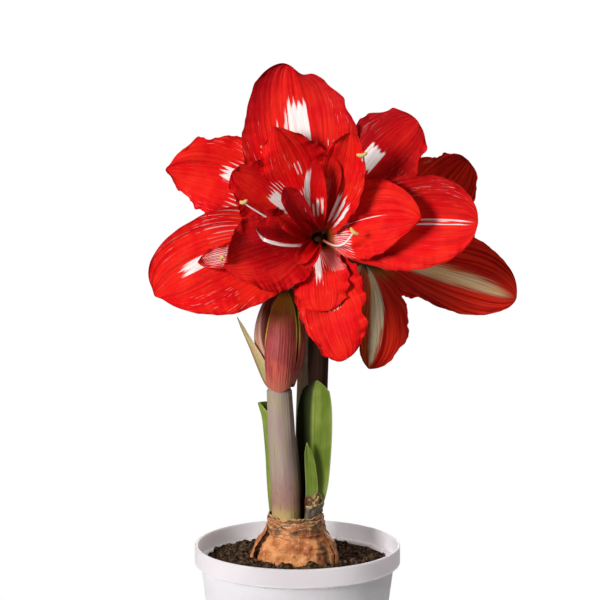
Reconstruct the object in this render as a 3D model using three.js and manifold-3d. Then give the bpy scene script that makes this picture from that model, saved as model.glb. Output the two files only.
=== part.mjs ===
// Double amaryllis in a plastic pot.
//
// Millimetres, +Z up. The origin is the centre of the pot's flat base, and the
// front bloom looks along -Y. Each living or moulded piece is one closed solid.

import * as THREE from 'three';
import { mergeVertices } from 'three/addons/utils/BufferGeometryUtils.js';
import Module from 'manifold-3d';

const wasm = await Module();
wasm.setup();

// ---------------------------------------------------------------- dimensions

const CLEARANCE = 0.3; // between pieces that touch on the real plant
const TURN = Math.PI * 2;

const POT = {
  height: 128,
  rimRadius: 75,
  rimBand: 13.6,
  rimStep: 4.4,
  baseRadius: 56,
  wall: 2.2,
  floor: 4,
  edge: 1.4,
  sides: 36,
  drainHoles: 6,
  drainRadius: 3,
  drainSides: 10,
  drainCircle: 38,
};

const SOIL = { level: 113.4, lump: 1.7, sides: 36 };

const BULB = {
  centre: new THREE.Vector3(-1.4, 0, 0),
  bottom: 73,
  shoulder: 112,
  neckTop: 147.5,
  neckWall: 1.1,
  throatFloor: 136,
  neckDepthRatio: 1.33, // the neck is deeper than it is wide
  neckShift: 2, // and its centre lies a little behind the bulb's
  sides: 24,
  roots: 6,
  rootLength: 52,
  rootRadius: 2.3,
};

const SOCKET_FLOOR = 112; // both flower stalks stand this deep in the bulb
const SCAPE_TOP = { bud: 243, bloom: 312 };

const SCAPE_SIDES = 18;
const FLAP_THICKNESS = 0.9; // of the bulb's peeling skin
const SHEATH_THICKNESS = 1; // of the bud's two valves
const PETAL_THICKNESS = 0.9;
const TIP_CROWDING = 1.35; // how much closer a petal's rows are at its tip
const CORE_SIDES = 9; // of the flower's tube

// base of each flower's tube, and the way that the flower faces
const FLOWER_FRONT = { base: [15, -22, 352], axis: [-0.05, -0.99, 0.1] };
const FLOWER_BACK = { base: [47, 26, 336], axis: [0.62, 0.78, 0.02] };

// ---------------------------------------------------------------- small tools

const point = (x, y, z) => new THREE.Vector3(x, y, z);
const radians = THREE.MathUtils.degToRad;
const mix = THREE.MathUtils.lerp;

// value of a piecewise linear curve given as [at, value] pairs
function along(pairs, at) {
  if (at <= pairs[0][0]) return pairs[0][1];
  for (let i = 1; i < pairs.length; i += 1) {
    const [x0, y0] = pairs[i - 1];
    const [x1, y1] = pairs[i];
    if (at <= x1) return mix(y0, y1, (at - x0) / (x1 - x0));
  }
  return pairs[pairs.length - 1][1];
}

// closed geometry from points and triangles, turned so that its faces point out
function closedGeometry(points, triangles) {
  const corner = (i) => points[i];
  let volume = 0;
  for (const [a, b, c] of triangles) {
    volume += corner(a).dot(corner(b).clone().cross(corner(c)));
  }
  const index = triangles.flatMap(([a, b, c]) => (volume > 0 ? [a, b, c] : [a, c, b]));
  const geometry = new THREE.BufferGeometry();
  geometry.setFromPoints(points);
  geometry.setIndex(index);
  return geometry;
}

// closed body through rings of equally many points, with a fan at each end
function loft(rings) {
  const count = rings[0].length;
  const points = rings.flat();
  const triangles = [];
  for (let i = 0; i + 1 < rings.length; i += 1) {
    for (let j = 0; j < count; j += 1) {
      const next = (j + 1) % count;
      const a = i * count + j;
      const b = i * count + next;
      triangles.push([a, b, b + count], [a, b + count, a + count]);
    }
  }
  for (const [ring, first, turned] of [[rings[0], 0, true], [rings.at(-1), points.length - count, false]]) {
    const centre = new THREE.Vector3();
    ring.forEach((p) => centre.addScaledVector(p, 1 / count));
    const middle = points.push(centre) - 1;
    for (let j = 0; j < count; j += 1) {
      const next = (j + 1) % count;
      triangles.push(turned ? [middle, first + next, first + j] : [middle, first + j, first + next]);
    }
  }
  return closedGeometry(points, triangles);
}

// closed thin sheet around a grid of points; both faces are split alike
function sheet(rows, thicknessAt) {
  const last = rows.length - 1;
  const end = rows[0].length - 1;
  const upper = [];
  const lower = [];
  for (let i = 0; i <= last; i += 1) {
    for (let j = 0; j <= end; j += 1) {
      const lengthwise = rows[Math.min(i + 1, last)][j].clone().sub(rows[Math.max(i - 1, 0)][j]);
      const across = rows[i][Math.min(j + 1, end)].clone().sub(rows[i][Math.max(j - 1, 0)]);
      const normal = across.cross(lengthwise).normalize();
      const half = thicknessAt(i / last, (2 * j) / end - 1) / 2;
      upper.push(rows[i][j].clone().addScaledVector(normal, half));
      lower.push(rows[i][j].clone().addScaledVector(normal, -half));
    }
  }
  const under = upper.length;
  const at = (i, j) => i * (end + 1) + j;
  const triangles = [];
  for (let i = 0; i < last; i += 1) {
    for (let j = 0; j < end; j += 1) {
      const [a, b, c, d] = [at(i, j), at(i, j + 1), at(i + 1, j + 1), at(i + 1, j)];
      triangles.push([a, b, c], [a, c, d]);
      triangles.push([under + a, under + c, under + b], [under + a, under + d, under + c]);
    }
  }
  const border = [];
  for (let j = 0; j < end; j += 1) border.push(at(0, j));
  for (let i = 0; i < last; i += 1) border.push(at(i, end));
  for (let j = end; j > 0; j -= 1) border.push(at(last, j));
  for (let i = last; i > 0; i -= 1) border.push(at(i, 0));
  border.forEach((a, k) => {
    const b = border[(k + 1) % border.length];
    triangles.push([b, a, under + a], [b, under + a, under + b]);
  });
  return closedGeometry([...upper, ...lower], triangles);
}

// horizontal ellipse of points, anticlockwise from above
function flatRing(centre, radiusX, radiusY, z, sides) {
  return Array.from({ length: sides }, (_, i) => {
    const angle = (TURN * i) / sides;
    return point(centre.x + radiusX * Math.cos(angle), centre.y + radiusY * Math.sin(angle), z);
  });
}

// round stem along a curve, with a radius that changes along it
function stem(curve, radiusAt, steps, sides) {
  const frames = curve.computeFrenetFrames(steps, false);
  const rings = [];
  for (let i = 0; i <= steps; i += 1) {
    const centre = curve.getPointAt(i / steps);
    const radius = radiusAt(i / steps);
    rings.push(Array.from({ length: sides }, (_, j) => {
      const angle = (TURN * j) / sides;
      return centre.clone()
        .addScaledVector(frames.normals[i], radius * Math.cos(angle))
        .addScaledVector(frames.binormals[i], radius * Math.sin(angle));
    }));
  }
  return loft(rings);
}

// leaf, bract or scale along a curve. facing is the side that its channel opens to
function leafBlade({ path, facing, widths, channel, thickness, steps, across }) {
  const curve = new THREE.CatmullRomCurve3(path.map((p) => point(...p)));
  const open = point(...facing).normalize();
  const rows = [];
  for (let i = 0; i <= steps; i += 1) {
    const t = i / steps;
    const centre = curve.getPoint(t);
    const forward = curve.getTangent(t);
    const inner = open.clone().addScaledVector(forward, -open.dot(forward)).normalize();
    const side = forward.clone().cross(inner);
    const half = along(widths, t) / 2;
    const row = [];
    for (let j = 0; j <= across; j += 1) {
      const s = (2 * j) / across - 1;
      row.push(centre.clone()
        .addScaledVector(side, s * half)
        .addScaledVector(inner, channel * half * s * s));
    }
    rows.push(row);
  }
  const middle = along(thickness, 0);
  return sheet(rows, (t, s) => mix(along(thickness, t), Math.min(1, middle), s * s));
}

// ---------------------------------------------------------------- solids

function toSolid(geometry) {
  const bare = geometry.clone();
  bare.deleteAttribute('normal');
  bare.deleteAttribute('uv');
  const merged = mergeVertices(bare, 1e-4);
  const source = merged.index.array;
  const triVerts = [];
  for (let i = 0; i < source.length; i += 3) {
    const [a, b, c] = source.slice(i, i + 3);
    if (a !== b && b !== c && c !== a) triVerts.push(a, b, c);
  }
  return new wasm.Manifold(new wasm.Mesh({
    numProp: 3,
    vertProperties: new Float32Array(merged.attributes.position.array),
    triVerts: new Uint32Array(triVerts),
  }));
}

// one body from many; sealed hollows are filled and loose scraps dropped
function fuse(solids) {
  const joined = solids.reduce((whole, solid) => whole.add(solid));
  return largest(joined);
}

function largest(solid) {
  const pieces = solid.decompose();
  return pieces.reduce((best, piece) => (piece.volume() > best.volume() ? piece : best));
}

function toGeometry(solid) {
  const mesh = solid.getMesh();
  const geometry = new THREE.BufferGeometry();
  geometry.setAttribute('position', new THREE.BufferAttribute(mesh.vertProperties, 3));
  geometry.setIndex(new THREE.BufferAttribute(mesh.triVerts, 1));
  geometry.computeVertexNormals();
  return geometry;
}

// ---------------------------------------------------------------- pot

// inner radius of the pot's body at a height
function potInside(z) {
  const top = POT.height - POT.rimBand;
  const outerTop = POT.rimRadius - POT.rimStep;
  return mix(POT.baseRadius, outerTop, z / top) - POT.wall;
}

function makePot() {
  const { height, rimRadius, rimBand, rimStep, baseRadius, wall, floor, edge } = POT;
  const bandBottom = height - rimBand;
  const ledge = bandBottom + wall * 0.4;
  const profile = [
    [0, 0],
    [baseRadius - edge, 0],
    [baseRadius, edge],
    [rimRadius - rimStep, bandBottom],
    [rimRadius - edge * 0.6, bandBottom + 0.5],
    [rimRadius, bandBottom + edge],
    [rimRadius, height - edge * 0.5],
    [rimRadius - edge * 0.5, height],
    [rimRadius - wall, height],
    [rimRadius - wall, ledge + 0.6],
    [potInside(ledge), ledge],
    [potInside(floor), floor],
    [0, floor],
  ].map(([radius, z]) => new THREE.Vector2(radius, z));
  const body = new THREE.LatheGeometry(profile, POT.sides);
  body.rotateX(Math.PI / 2);
  let pot = toSolid(body);
  for (let i = 0; i < POT.drainHoles; i += 1) {
    const angle = (TURN * i) / POT.drainHoles;
    const drill = new THREE.CylinderGeometry(POT.drainRadius, POT.drainRadius, floor * 3, POT.drainSides);
    drill.rotateX(Math.PI / 2);
    drill.translate(POT.drainCircle * Math.cos(angle), POT.drainCircle * Math.sin(angle), 0);
    pot = pot.subtract(toSolid(drill));
  }
  return pot;
}

// ---------------------------------------------------------------- bulb

const BULB_PROFILE = [
  // height, radius
  [73, 9], [75, 13.5], [79, 19.5], [85, 26], [93, 31], [101, 33], [109, 32.6],
  [116, 31], [123, 29.2], [129, 27.2], [133, 24.6], [136, 22.6], [136.5, 21.6],
  [140, 21.3], [140.5, 20.5], [143.6, 20.4], [144.1, 19.7], [147.5, 19.4],
];

// centre and half axes of the bulb's level section, or of one grown by extra
function bulbSection(z, extra = 0) {
  const radius = along(BULB_PROFILE, z) + extra;
  const towardsNeck = THREE.MathUtils.smoothstep(z, BULB.shoulder, BULB.neckTop);
  return {
    centre: point(BULB.centre.x, BULB.centre.y + BULB.neckShift * towardsNeck, 0),
    radiusX: radius,
    radiusY: radius * mix(1, BULB.neckDepthRatio, towardsNeck),
  };
}

function bulbBody(extra) {
  const rings = BULB_PROFILE.map(([z], i) => {
    const { centre, radiusX, radiusY } = bulbSection(z, extra);
    return flatRing(centre, radiusX, radiusY, i === 0 ? z - extra : z, BULB.sides);
  });
  return toSolid(loft(rings));
}

function bulbRoots(extra) {
  return Array.from({ length: BULB.roots }, (_, i) => {
    const angle = (TURN * (i + 0.3 * Math.sin(i * 2.1))) / BULB.roots;
    const out = point(Math.cos(angle), Math.sin(angle), 0);
    const reach = 0.5 + 0.16 * Math.sin(i * 1.7);
    const start = BULB.centre.clone().addScaledVector(out, 7).setZ(BULB.bottom + 5);
    const bend = start.clone().addScaledVector(out, BULB.rootLength * reach * 0.7);
    bend.z -= BULB.rootLength * 0.35;
    const tip = bend.clone().addScaledVector(out, BULB.rootLength * reach * 0.25);
    tip.z -= BULB.rootLength * (0.5 - 0.08 * Math.sin(i * 2.9));
    tip.addScaledVector(tip.clone().sub(bend).normalize(), extra);
    const curve = new THREE.QuadraticBezierCurve3(start, bend, tip);
    const radiusAt = (t) => BULB.rootRadius * (1 - 0.55 * t) + extra;
    return toSolid(stem(curve, radiusAt, 4, 5));
  });
}

// papery flap that has come away from the bulb: rooted low, free at its top
function tunicFlap({ angle, span, bottom, top, lift, ragged }) {
  const rows = [];
  const steps = 4;
  const across = 4;
  for (let i = 0; i <= steps; i += 1) {
    const row = [];
    for (let j = 0; j <= across; j += 1) {
      const s = (2 * j) / across - 1;
      const rise = mix(bottom, top + ragged * Math.sin(5 * s + angle), i / steps);
      const t = i / steps;
      const { centre, radiusX, radiusY } = bulbSection(rise, mix(-0.9, lift, t * t) - 0.3 * s * s);
      const turn = radians(angle + s * span * (1 - 0.35 * t));
      row.push(point(centre.x + radiusX * Math.cos(turn), centre.y + radiusY * Math.sin(turn), rise));
    }
    rows.push(row);
  }
  return toSolid(sheet(rows, () => FLAP_THICKNESS));
}

const TUNIC_FLAPS = [
  { angle: 192, span: 15, bottom: 119, top: 146, lift: 2.6, ragged: 1.5 }, // peeling at the left
  { angle: 343, span: 12, bottom: 119, top: 143, lift: 2.2, ragged: 1 }, // strip at the right
  { angle: 174, span: 15, bottom: 136, top: 161, lift: 1.2, ragged: 2 }, // tongue beside the bud stalk
  { angle: 92, span: 20, bottom: 120, top: 148, lift: 2.2, ragged: 2 }, // peeling at the back
];

function makeBulb() {
  const { throatFloor, neckTop, neckWall, sides } = BULB;
  const inner = [throatFloor, neckTop + 1].map((z) => {
    const { centre, radiusX, radiusY } = bulbSection(neckTop, -neckWall);
    return flatRing(centre, radiusX, radiusY, z, sides);
  });
  const sockets = [scapeBody(SCAPE_BUD, CLEARANCE), scapeBody(SCAPE_BLOOM, CLEARANCE)];
  let body = fuse([bulbBody(0), ...bulbRoots(0)]);
  body = body.subtract(toSolid(loft(inner)));
  const flaps = TUNIC_FLAPS.map(tunicFlap);
  body = flaps.reduce((whole, flap) => whole.add(flap), body);
  body = sockets.reduce((whole, socket) => whole.subtract(socket), body);
  return largest(body);
}

// ---------------------------------------------------------------- soil

// height of the peat's lumpy surface
function soilTop(x, y) {
  const lumps = Math.sin(x * 0.31 + 1.1) * Math.cos(y * 0.27 - 0.4)
    + 0.6 * Math.sin(x * 0.13 - y * 0.19 + 2)
    + 0.5 * Math.cos(x * 0.47 + y * 0.41);
  const slope = -0.022 * x; // heaped a little at the left
  return SOIL.level + slope + SOIL.lump * lumps * 0.6;
}

function makeSoil() {
  const bottom = POT.floor + CLEARANCE;
  const edgeTop = POT.height - POT.rimBand - 0.6;
  const edgeRadius = (z) => potInside(z) - CLEARANCE;
  const rings = [0, 0.5, 1].map((t) => {
    const z = mix(bottom, edgeTop, t);
    return flatRing(point(0, 0, 0), edgeRadius(z), edgeRadius(z), z, SOIL.sides);
  });
  for (const share of [0.975, 0.84, 0.71, 0.58, 0.44]) {
    const radius = edgeRadius(edgeTop) * share;
    const ring = flatRing(point(0, 0, 0), radius, radius, 0, SOIL.sides);
    ring.forEach((p) => { p.z = soilTop(p.x, p.y); });
    rings.push(ring);
  }
  let soil = toSolid(loft(rings));
  soil = soil.subtract(bulbBody(CLEARANCE));
  bulbRoots(CLEARANCE).forEach((root) => { soil = soil.subtract(root); });
  return largest(soil);
}

// ---------------------------------------------------------------- scapes

// level sections: height, centre x, centre y, radius
const SCAPE_BUD = [
  [SOCKET_FLOOR + CLEARANCE, -8.2, -7, 9.8], [147, -8.2, -7, 10], [170, -9.2, -7.2, 10.2],
  [195, -10.6, -7.4, 9.9], [220, -12, -7.6, 9.5], [SCAPE_TOP.bud, -13, -7.6, 9.3],
];
const SCAPE_BLOOM = [
  [SOCKET_FLOOR + CLEARANCE, 5.5, 12, 9.8], [147, 5.8, 12, 10.1], [175, 7.6, 12, 10.6], [210, 9.6, 12, 11],
  [250, 11.2, 12, 11.2], [285, 11.9, 12, 11], [SCAPE_TOP.bloom, 12, 12, 10.8],
];

function scapeBody(sections, extra) {
  const rings = sections.map(([z, x, y, radius], i) => {
    const grown = radius + extra;
    return flatRing(point(x, y, 0), grown, grown * 0.97, i === 0 ? z - extra : z, SCAPE_SIDES);
  });
  return toSolid(loft(rings));
}

// ---------------------------------------------------------------- leaves

const LEAVES = {
  leaf_left: {
    path: [[-12.3, 9.4, 136.9], [-15.2, 9.5, 165], [-18.8, 9.5, 200], [-22, 8.6, 222], [-26, 6.6, 232]],
    facing: [0.8, -0.6, 0],
    widths: [[0, 13], [0.3, 18], [0.7, 20], [0.88, 18], [1, 12]],
    channel: 0.3,
    thickness: [[0, 2.6], [0.8, 1.8], [1, 1.2]],
    steps: 8,
    across: 4,
  },
  leaf_right_tall: {
    path: [
      [8.3, -2.8, 136.9], [9.5, -2.8, 148], [12.5, -2.8, 170],
      [12.6, -2.6, 205], [13, -2.2, 232], [13.6, -2, 248.5],
    ],
    facing: [0, -1, 0],
    widths: [[0, 10], [0.12, 10.6], [0.27, 13.8], [0.62, 25.6], [0.72, 25], [0.9, 18.4], [1, 8]],
    channel: 0.28,
    thickness: [[0, 2.6], [0.8, 1.8], [1, 1.1]],
    steps: 9,
    across: 4,
  },
  leaf_right_short: {
    path: [[7.6, -7, 136.9], [10.4, -7, 164], [9.4, -9, 186], [6.9, -10.5, 204.4]],
    facing: [0, -1, 0],
    widths: [[0, 6], [0.4, 8.8], [0.75, 7], [1, 2]],
    channel: 0.25,
    thickness: [[0, 1.5], [0.8, 1.4], [1, 1]],
    steps: 7,
    across: 4,
  },
};

// leaf base that was cut and has torn, hugging the young leaves
function makeLeafStub() {
  const rows = [];
  const steps = 6;
  const across = 8;
  const outward = point(0.7, -0.71, 0);
  const side = point(0.71, 0.7, 0);
  for (let i = 0; i <= steps; i += 1) {
    const t = i / steps;
    const flare = THREE.MathUtils.smoothstep(t, 0.4, 1); // inside the neck it stays narrow
    const half = mix(4.9, 9.4, flare);
    const centre = point(mix(10.4, 13.4, flare), mix(-11.8, -14.2, flare), 0);
    const row = [];
    for (let j = 0; j <= across; j += 1) {
      const s = (2 * j) / across - 1;
      const torn = 1.8 * Math.sin(9 * s + 0.6) + 1.1 * Math.cos(17 * s);
      const z = mix(BULB.throatFloor + CLEARANCE, 162 + torn, t);
      row.push(centre.clone()
        .addScaledVector(side, half * s)
        .addScaledVector(outward, -0.16 * half * s * s + 0.6)
        .setZ(z));
    }
    rows.push(row);
  }
  return toSolid(sheet(rows, (t) => mix(1.2, 2.2, t)));
}

// ---------------------------------------------------------------- flower bud

// valve of the bud's sheath: a boat-shaped shell between two angles about its own axis
function spatheValve({ foot, head, radii, from, to, keel, bow, steps, across }) {
  const rows = [];
  for (let i = 0; i <= steps; i += 1) {
    const t = i / steps;
    const row = [];
    for (let j = 0; j <= across; j += 1) {
      const s = (2 * j) / across - 1;
      const narrowed = 1 - 0.55 * Math.max(0, (t - 0.8) / 0.2) ** 2;
      const angle = radians(mix(from, to, 0.5) + ((to - from) / 2) * s * narrowed);
      const start = foot.z + bow * s * s;
      const z = mix(start, head.z, t);
      const share = (z - foot.z) / (head.z - foot.z);
      const radius = along(radii, Math.max(0, share)) * (1 + keel * (1 - Math.abs(s)));
      row.push(point(
        mix(foot.x, head.x, share) + radius * Math.cos(angle),
        mix(foot.y, head.y, share) + radius * Math.sin(angle),
        z,
      ));
    }
    rows.push(row);
  }
  return toSolid(sheet(rows, () => SHEATH_THICKNESS));
}

const SPATHE_FRONT = {
  foot: point(-13, -7.6, 241.5),
  head: point(-9, -8.5, 317.5),
  radii: [
    [0, 10.4], [0.12, 11.4], [0.3, 12.4], [0.5, 12.2],
    [0.7, 10.2], [0.86, 6.8], [0.95, 3.4], [1, 1.2],
  ],
  from: 182,
  to: 338,
  keel: 0.04,
  bow: 6,
  steps: 9,
  across: 6,
};

const SPATHE_BACK = {
  foot: point(-10.6, -5.6, 243.4),
  head: point(-8, -7, 314),
  radii: [
    [0, 9.4], [0.12, 11.2], [0.35, 13.3], [0.5, 13],
    [0.7, 10], [0.86, 6.2], [0.95, 3.2], [1, 1.2],
  ],
  from: -18,
  to: 140,
  keel: 0.05,
  bow: 2,
  steps: 9,
  across: 6,
};

// closed flower bud, a spindle from its stalk's foot to its tip
function flowerBud(path, radius) {
  const curve = new THREE.CatmullRomCurve3(path.map((p) => point(...p)));
  const spindle = [[0, 0.55], [0.25, 0.62], [0.55, 1], [0.8, 0.78], [0.95, 0.35], [1, 0.12]];
  return toSolid(stem(curve, (t) => radius * along(spindle, t), 8, 8));
}

function makeBudFlowers() {
  const foot = SCAPE_TOP.bud + CLEARANCE + 0.3; // their bases tilt a little
  return fuse([
    flowerBud([[-11.5, -7, foot], [-10.8, -7, 262], [-9.5, -7.5, 285], [-9, -8, 307]], 7.6),
    flowerBud([
      [-14.5, -4.5, foot + 0.4], [-15.4, -4.1, 250], [-18, -3, 258],
      [-26.2, -1.5, 279], [-24.2, -2.5, 304],
    ], 5.2),
  ]);
}

const BUD_BRACT = {
  path: [[-20.6, -1.2, 243.6], [-24, -1, 252], [-29.8, -4.6, 267], [-34.8, -5.6, 277.5], [-43.3, -5, 295]],
  facing: [0.75, -0.66, 0],
  widths: [[0, 3.2], [0.2, 6.2], [0.6, 5.4], [1, 1.4]],
  channel: 0.3,
  thickness: [[0, 1], [1, 0.9]],
  steps: 7,
  across: 4,
};

// ---------------------------------------------------------------- flowers

// withered sheath valves that hang from the top of the flower stalk
const DRY_SPATHES = {
  spathe_dry_left: {
    path: [
      [1.7, 18.6, 300], [-0.6, 20.1, 309], [-5.4, 24, 314],
      [-10.6, 29.6, 303], [-12.6, 33, 284], [-12, 34, 262],
    ],
    facing: [-0.3, 0.3, 0.9],
    widths: [[0, 9], [0.25, 19], [0.6, 15], [0.85, 8], [1, 2]],
    channel: 0.25,
    thickness: [[0, 0.9], [1, 0.9]],
    steps: 10,
    across: 4,
  },
  spathe_dry_right: {
    path: [
      [15.2, 23.9, 298], [15.6, 25.4, 307], [16.4, 30, 313],
      [17.2, 37, 304], [17, 40.4, 284], [15.6, 41.4, 266],
    ],
    facing: [0.1, 0.4, 0.9],
    widths: [[0, 8], [0.25, 12], [0.6, 12], [0.85, 7], [1, 2]],
    channel: 0.25,
    thickness: [[0, 0.9], [1, 0.9]],
    steps: 10,
    across: 4,
  },
};

// where a flower stands: its tube's base, its axis and the viewer's right and up
function flowerFrame({ base, axis }) {
  const forward = point(...axis).normalize();
  const up = point(0, 0, 1).addScaledVector(forward, -forward.z).normalize();
  const right = up.clone().cross(forward);
  return { origin: point(...base), forward, up, right };
}

// stalk from the scape's flat top to the flower, ending in the swollen ovary
function makePedicel(start, flower) {
  const { origin, forward } = flowerFrame(flower);
  const foot = point(...start);
  const seat = origin.clone().addScaledVector(forward, -CLEARANCE);
  const curve = new THREE.CubicBezierCurve3(
    foot,
    foot.clone().add(point(0, 0, 26)),
    seat.clone().addScaledVector(forward, -22),
    seat,
  );
  const swelling = [[0, 4.4], [0.5, 4.1], [0.66, 4.6], [0.82, 6.6], [0.92, 6.4], [1, 5]];
  return toSolid(stem(curve, (t) => along(swelling, t), 10, 9));
}

// Petal settings. turn is the angle round the flower, anticlockwise from its right, and
// sway bends the petal on to another angle. open holds its angle from the flower's axis
// at the base, the middle and the tip, and rise is how far up the tube it starts. skew
// widens its anticlockwise half.
const PETAL_DEFAULTS = {
  open: [20, 72, 84], sway: 0, skew: 0, peak: 0.6, tip: 0.42, foot: 0.12,
  cup: [0.15, 0.1], fold: 0, wave: [0, 2, 0], steps: 7, across: 6, rise: 1.6,
};
const INNER = { rise: 6, steps: 5, across: 4, open: [14, 54, 60], peak: 0.56, tip: 0.5, cup: [0.1, 0] };
const SMALL = { rise: 11, steps: 5, across: 2, open: [8, 40, 50], tip: 0.6, cup: [0.3, 0.2] };

const PETALS_FRONT = [
  // outer whorls
  {
    turn: 99.5, length: 126, width: 82, open: [20, 76, 80], peak: 0.54, tip: 0.4, skew: 0.08,
    cup: [0.1, 0.2], wave: [4.5, 1.6, 0.15],
  },
  {
    turn: 141, length: 120, width: 64, open: [20, 75, 85], sway: 41, skew: -0.04, tip: 0.5,
    cup: [0.15, 0.05], wave: [3, 2.6, 0],
  },
  {
    turn: 186, length: 125, width: 72, open: [20, 75, 82], sway: 39, skew: 0.14, peak: 0.54,
    cup: [0.2, 0.2], wave: [2, 1.5, 0.5],
  },
  {
    turn: 275, length: 93, width: 50, open: [20, 68, 84], sway: 25, skew: 0.18, peak: 0.5, tip: 0.38,
    foot: 0.4, cup: [0.15, 0], wave: [2.6, 2.6, 0],
  },
  { turn: 12, length: 119, width: 66, open: [20, 70, 78], sway: -20, cup: [0.25, 0.2] },
  {
    turn: 56, length: 114, width: 62, open: [20, 72, 100], sway: -18,
    cup: [0.15, 0.05], wave: [2.8, 2.6, 0],
  },
  // inner whorl
  {
    ...INNER, turn: 26, length: 87, width: 56, open: [14, 55, 68], sway: -45, peak: 0.52, tip: 0.72,
    cup: [0, -0.1], fold: 0.3,
  },
  {
    ...INNER, turn: 276, length: 58, width: 41, open: [14, 52, 92], foot: 0.2, peak: 0.6, tip: 0.35,
    cup: [0.1, -0.1],
  },
  {
    ...INNER, turn: 197, length: 76, width: 58, open: [14, 56, 62], tip: 0.62, fold: 0.3,
    wave: [3.5, 1.7, 0.3],
  },
  { ...INNER, turn: 138, length: 86, width: 46, sway: 10, cup: [0.1, -0.2] },
  {
    ...INNER, turn: 107, length: 94, width: 54, open: [12, 54, 68], sway: 10, peak: 0.58, tip: 0.85,
    fold: -0.15,
  },
  { ...INNER, turn: 64, length: 99, width: 38, open: [10, 44, 56], sway: 20, skew: 0.05, cup: [0.5, 0.3] },
  // petaloids round the throat
  { ...SMALL, turn: 90, length: 80, width: 17, open: [8, 34, 50] },
  { ...SMALL, turn: 122, length: 66, width: 20, open: [5, 30, 46], cup: [0.5, 0.3] },
  { ...SMALL, turn: 235, length: 42, width: 14, open: [4, 24, 40], cup: [0.5, 0.6] },
  { ...SMALL, turn: 165, length: 64, width: 20, cup: [0.3, 0.3] },
  { ...SMALL, rise: 4, turn: 192, length: 90, width: 20, open: [17, 65, 70], peak: 0.75 },
  { ...SMALL, turn: 76, length: 74, width: 16, open: [10, 42, 56], peak: 0.75 },
];

const PETALS_BACK = [
  // outer whorls
  { turn: 131, length: 105, width: 60, open: [20, 60, 80], cup: [0.15, 0.1], wave: [2.5, 2.6, 0] },
  {
    turn: 198, length: 116, width: 60, open: [20, 60, 70], peak: 0.55, tip: 0.55, skew: -0.14,
    cup: [0.15, 0.15],
  },
  {
    turn: 281, length: 97, width: 52, open: [20, 70, 90], peak: 0.55, tip: 0.6, skew: -0.12,
    cup: [0.2, 0.2],
  },
  { turn: 76, length: 112, width: 62, open: [20, 68, 82], wave: [2.5, 2.2, 0.3] },
  { turn: 22, length: 116, width: 66, open: [20, 68, 80], cup: [0.2, 0.1], wave: [2, 2.4, 0.6] },
  { turn: 330, length: 110, width: 62, open: [20, 68, 84], cup: [0.2, 0.1], wave: [2, 2, 0.1] },
  // inner whorl
  { ...INNER, turn: 48, length: 96, width: 50, fold: 0.2 },
  { ...INNER, turn: 106, length: 92, width: 48, open: [12, 50, 60], fold: -0.2 },
  { ...INNER, turn: 164, length: 80, width: 46, fold: 0.25 },
  { ...INNER, turn: 226, length: 56, width: 40, open: [14, 40, 50] },
  { ...INNER, turn: 300, length: 82, width: 46, open: [14, 52, 72] },
  { ...INNER, turn: 0, length: 92, width: 50, cup: [0.3, 0.1] },
  // petaloids round the throat
  { ...SMALL, turn: 20, length: 66, width: 18, open: [6, 32, 46], cup: [0.4, 0.3] },
  { ...SMALL, turn: 82, length: 78, width: 18, open: [8, 36, 50] },
  { ...SMALL, turn: 140, length: 68, width: 20, open: [6, 34, 48], cup: [0.4, 0.3] },
  { ...SMALL, turn: 198, length: 62, width: 18 },
  { ...SMALL, turn: 262, length: 50, width: 16, open: [4, 28, 44] },
  { ...SMALL, turn: 325, length: 60, width: 18 },
];

// share of a petal's full width at a place along it
function petalWidth(t, { foot, peak, tip }) {
  if (t < peak) return foot + (1 - foot) * Math.sin((Math.PI / 2) * (t / peak)) ** 1.2;
  const past = (t - peak) / (1 - peak);
  return Math.max(0.06, (1 - past * past) ** tip);
}

function petalRows(flower, settings) {
  const petal = { ...PETAL_DEFAULTS, ...settings };
  const { origin, forward, up, right } = flowerFrame(flower);
  const [opening, middle, end] = petal.open;
  const [amplitude, waves, phase] = petal.wave;
  const tubeRadius = 3;
  const place = origin.clone().addScaledVector(forward, petal.rise);
  const rows = [];
  let before = 0;
  for (let i = 0; i <= petal.steps; i += 1) {
    const t = 1 - (1 - i / petal.steps) ** TIP_CROWDING;
    // a parabola through the three opening angles
    const early = opening * (1 - t) * (1 - 2 * t);
    const lean = radians(early + middle * 4 * t * (1 - t) + end * t * (2 * t - 1));
    const angle = radians(petal.turn + petal.sway * t * t);
    const outward = right.clone().multiplyScalar(Math.cos(angle)).addScaledVector(up, Math.sin(angle));
    const side = right.clone().multiplyScalar(-Math.sin(angle)).addScaledVector(up, Math.cos(angle));
    const ahead = forward.clone().multiplyScalar(Math.cos(lean)).addScaledVector(outward, Math.sin(lean));
    const inner = forward.clone().multiplyScalar(Math.sin(lean)).addScaledVector(outward, -Math.cos(lean));
    if (i === 0) place.addScaledVector(outward, tubeRadius);
    else place.addScaledVector(ahead, petal.length * (t - before));
    before = t;
    const half = (petal.width / 2) * petalWidth(t, petal);
    const cup = mix(petal.cup[0], petal.cup[1], t);
    const row = [];
    for (let j = 0; j <= petal.across; j += 1) {
      const s = (2 * j) / petal.across - 1;
      const reach = half * (1 + petal.skew * Math.sign(s));
      const turnOfWave = waves * t + phase + (s > 0 ? 0.35 : 0);
      const ruffle = amplitude * s * s * Math.sin(TURN * turnOfWave) * Math.min(1, 2.5 * t);
      const height = reach * (cup * s * s + petal.fold * Math.abs(s)) + ruffle;
      row.push(place.clone().addScaledVector(side, reach * s).addScaledVector(inner, height));
    }
    rows.push(row);
  }
  return rows;
}

// pistil and stamens: thin stalks that bend out of the throat to a swollen tip
const STAMENS = [
  // angle round the flower, length, opening in degrees
  { turn: 20, length: 52, open: 34 },
  { turn: 62, length: 78, open: 40 },
  { turn: 156, length: 84, open: 46 },
  { turn: 210, length: 46, open: 22 },
];

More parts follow.
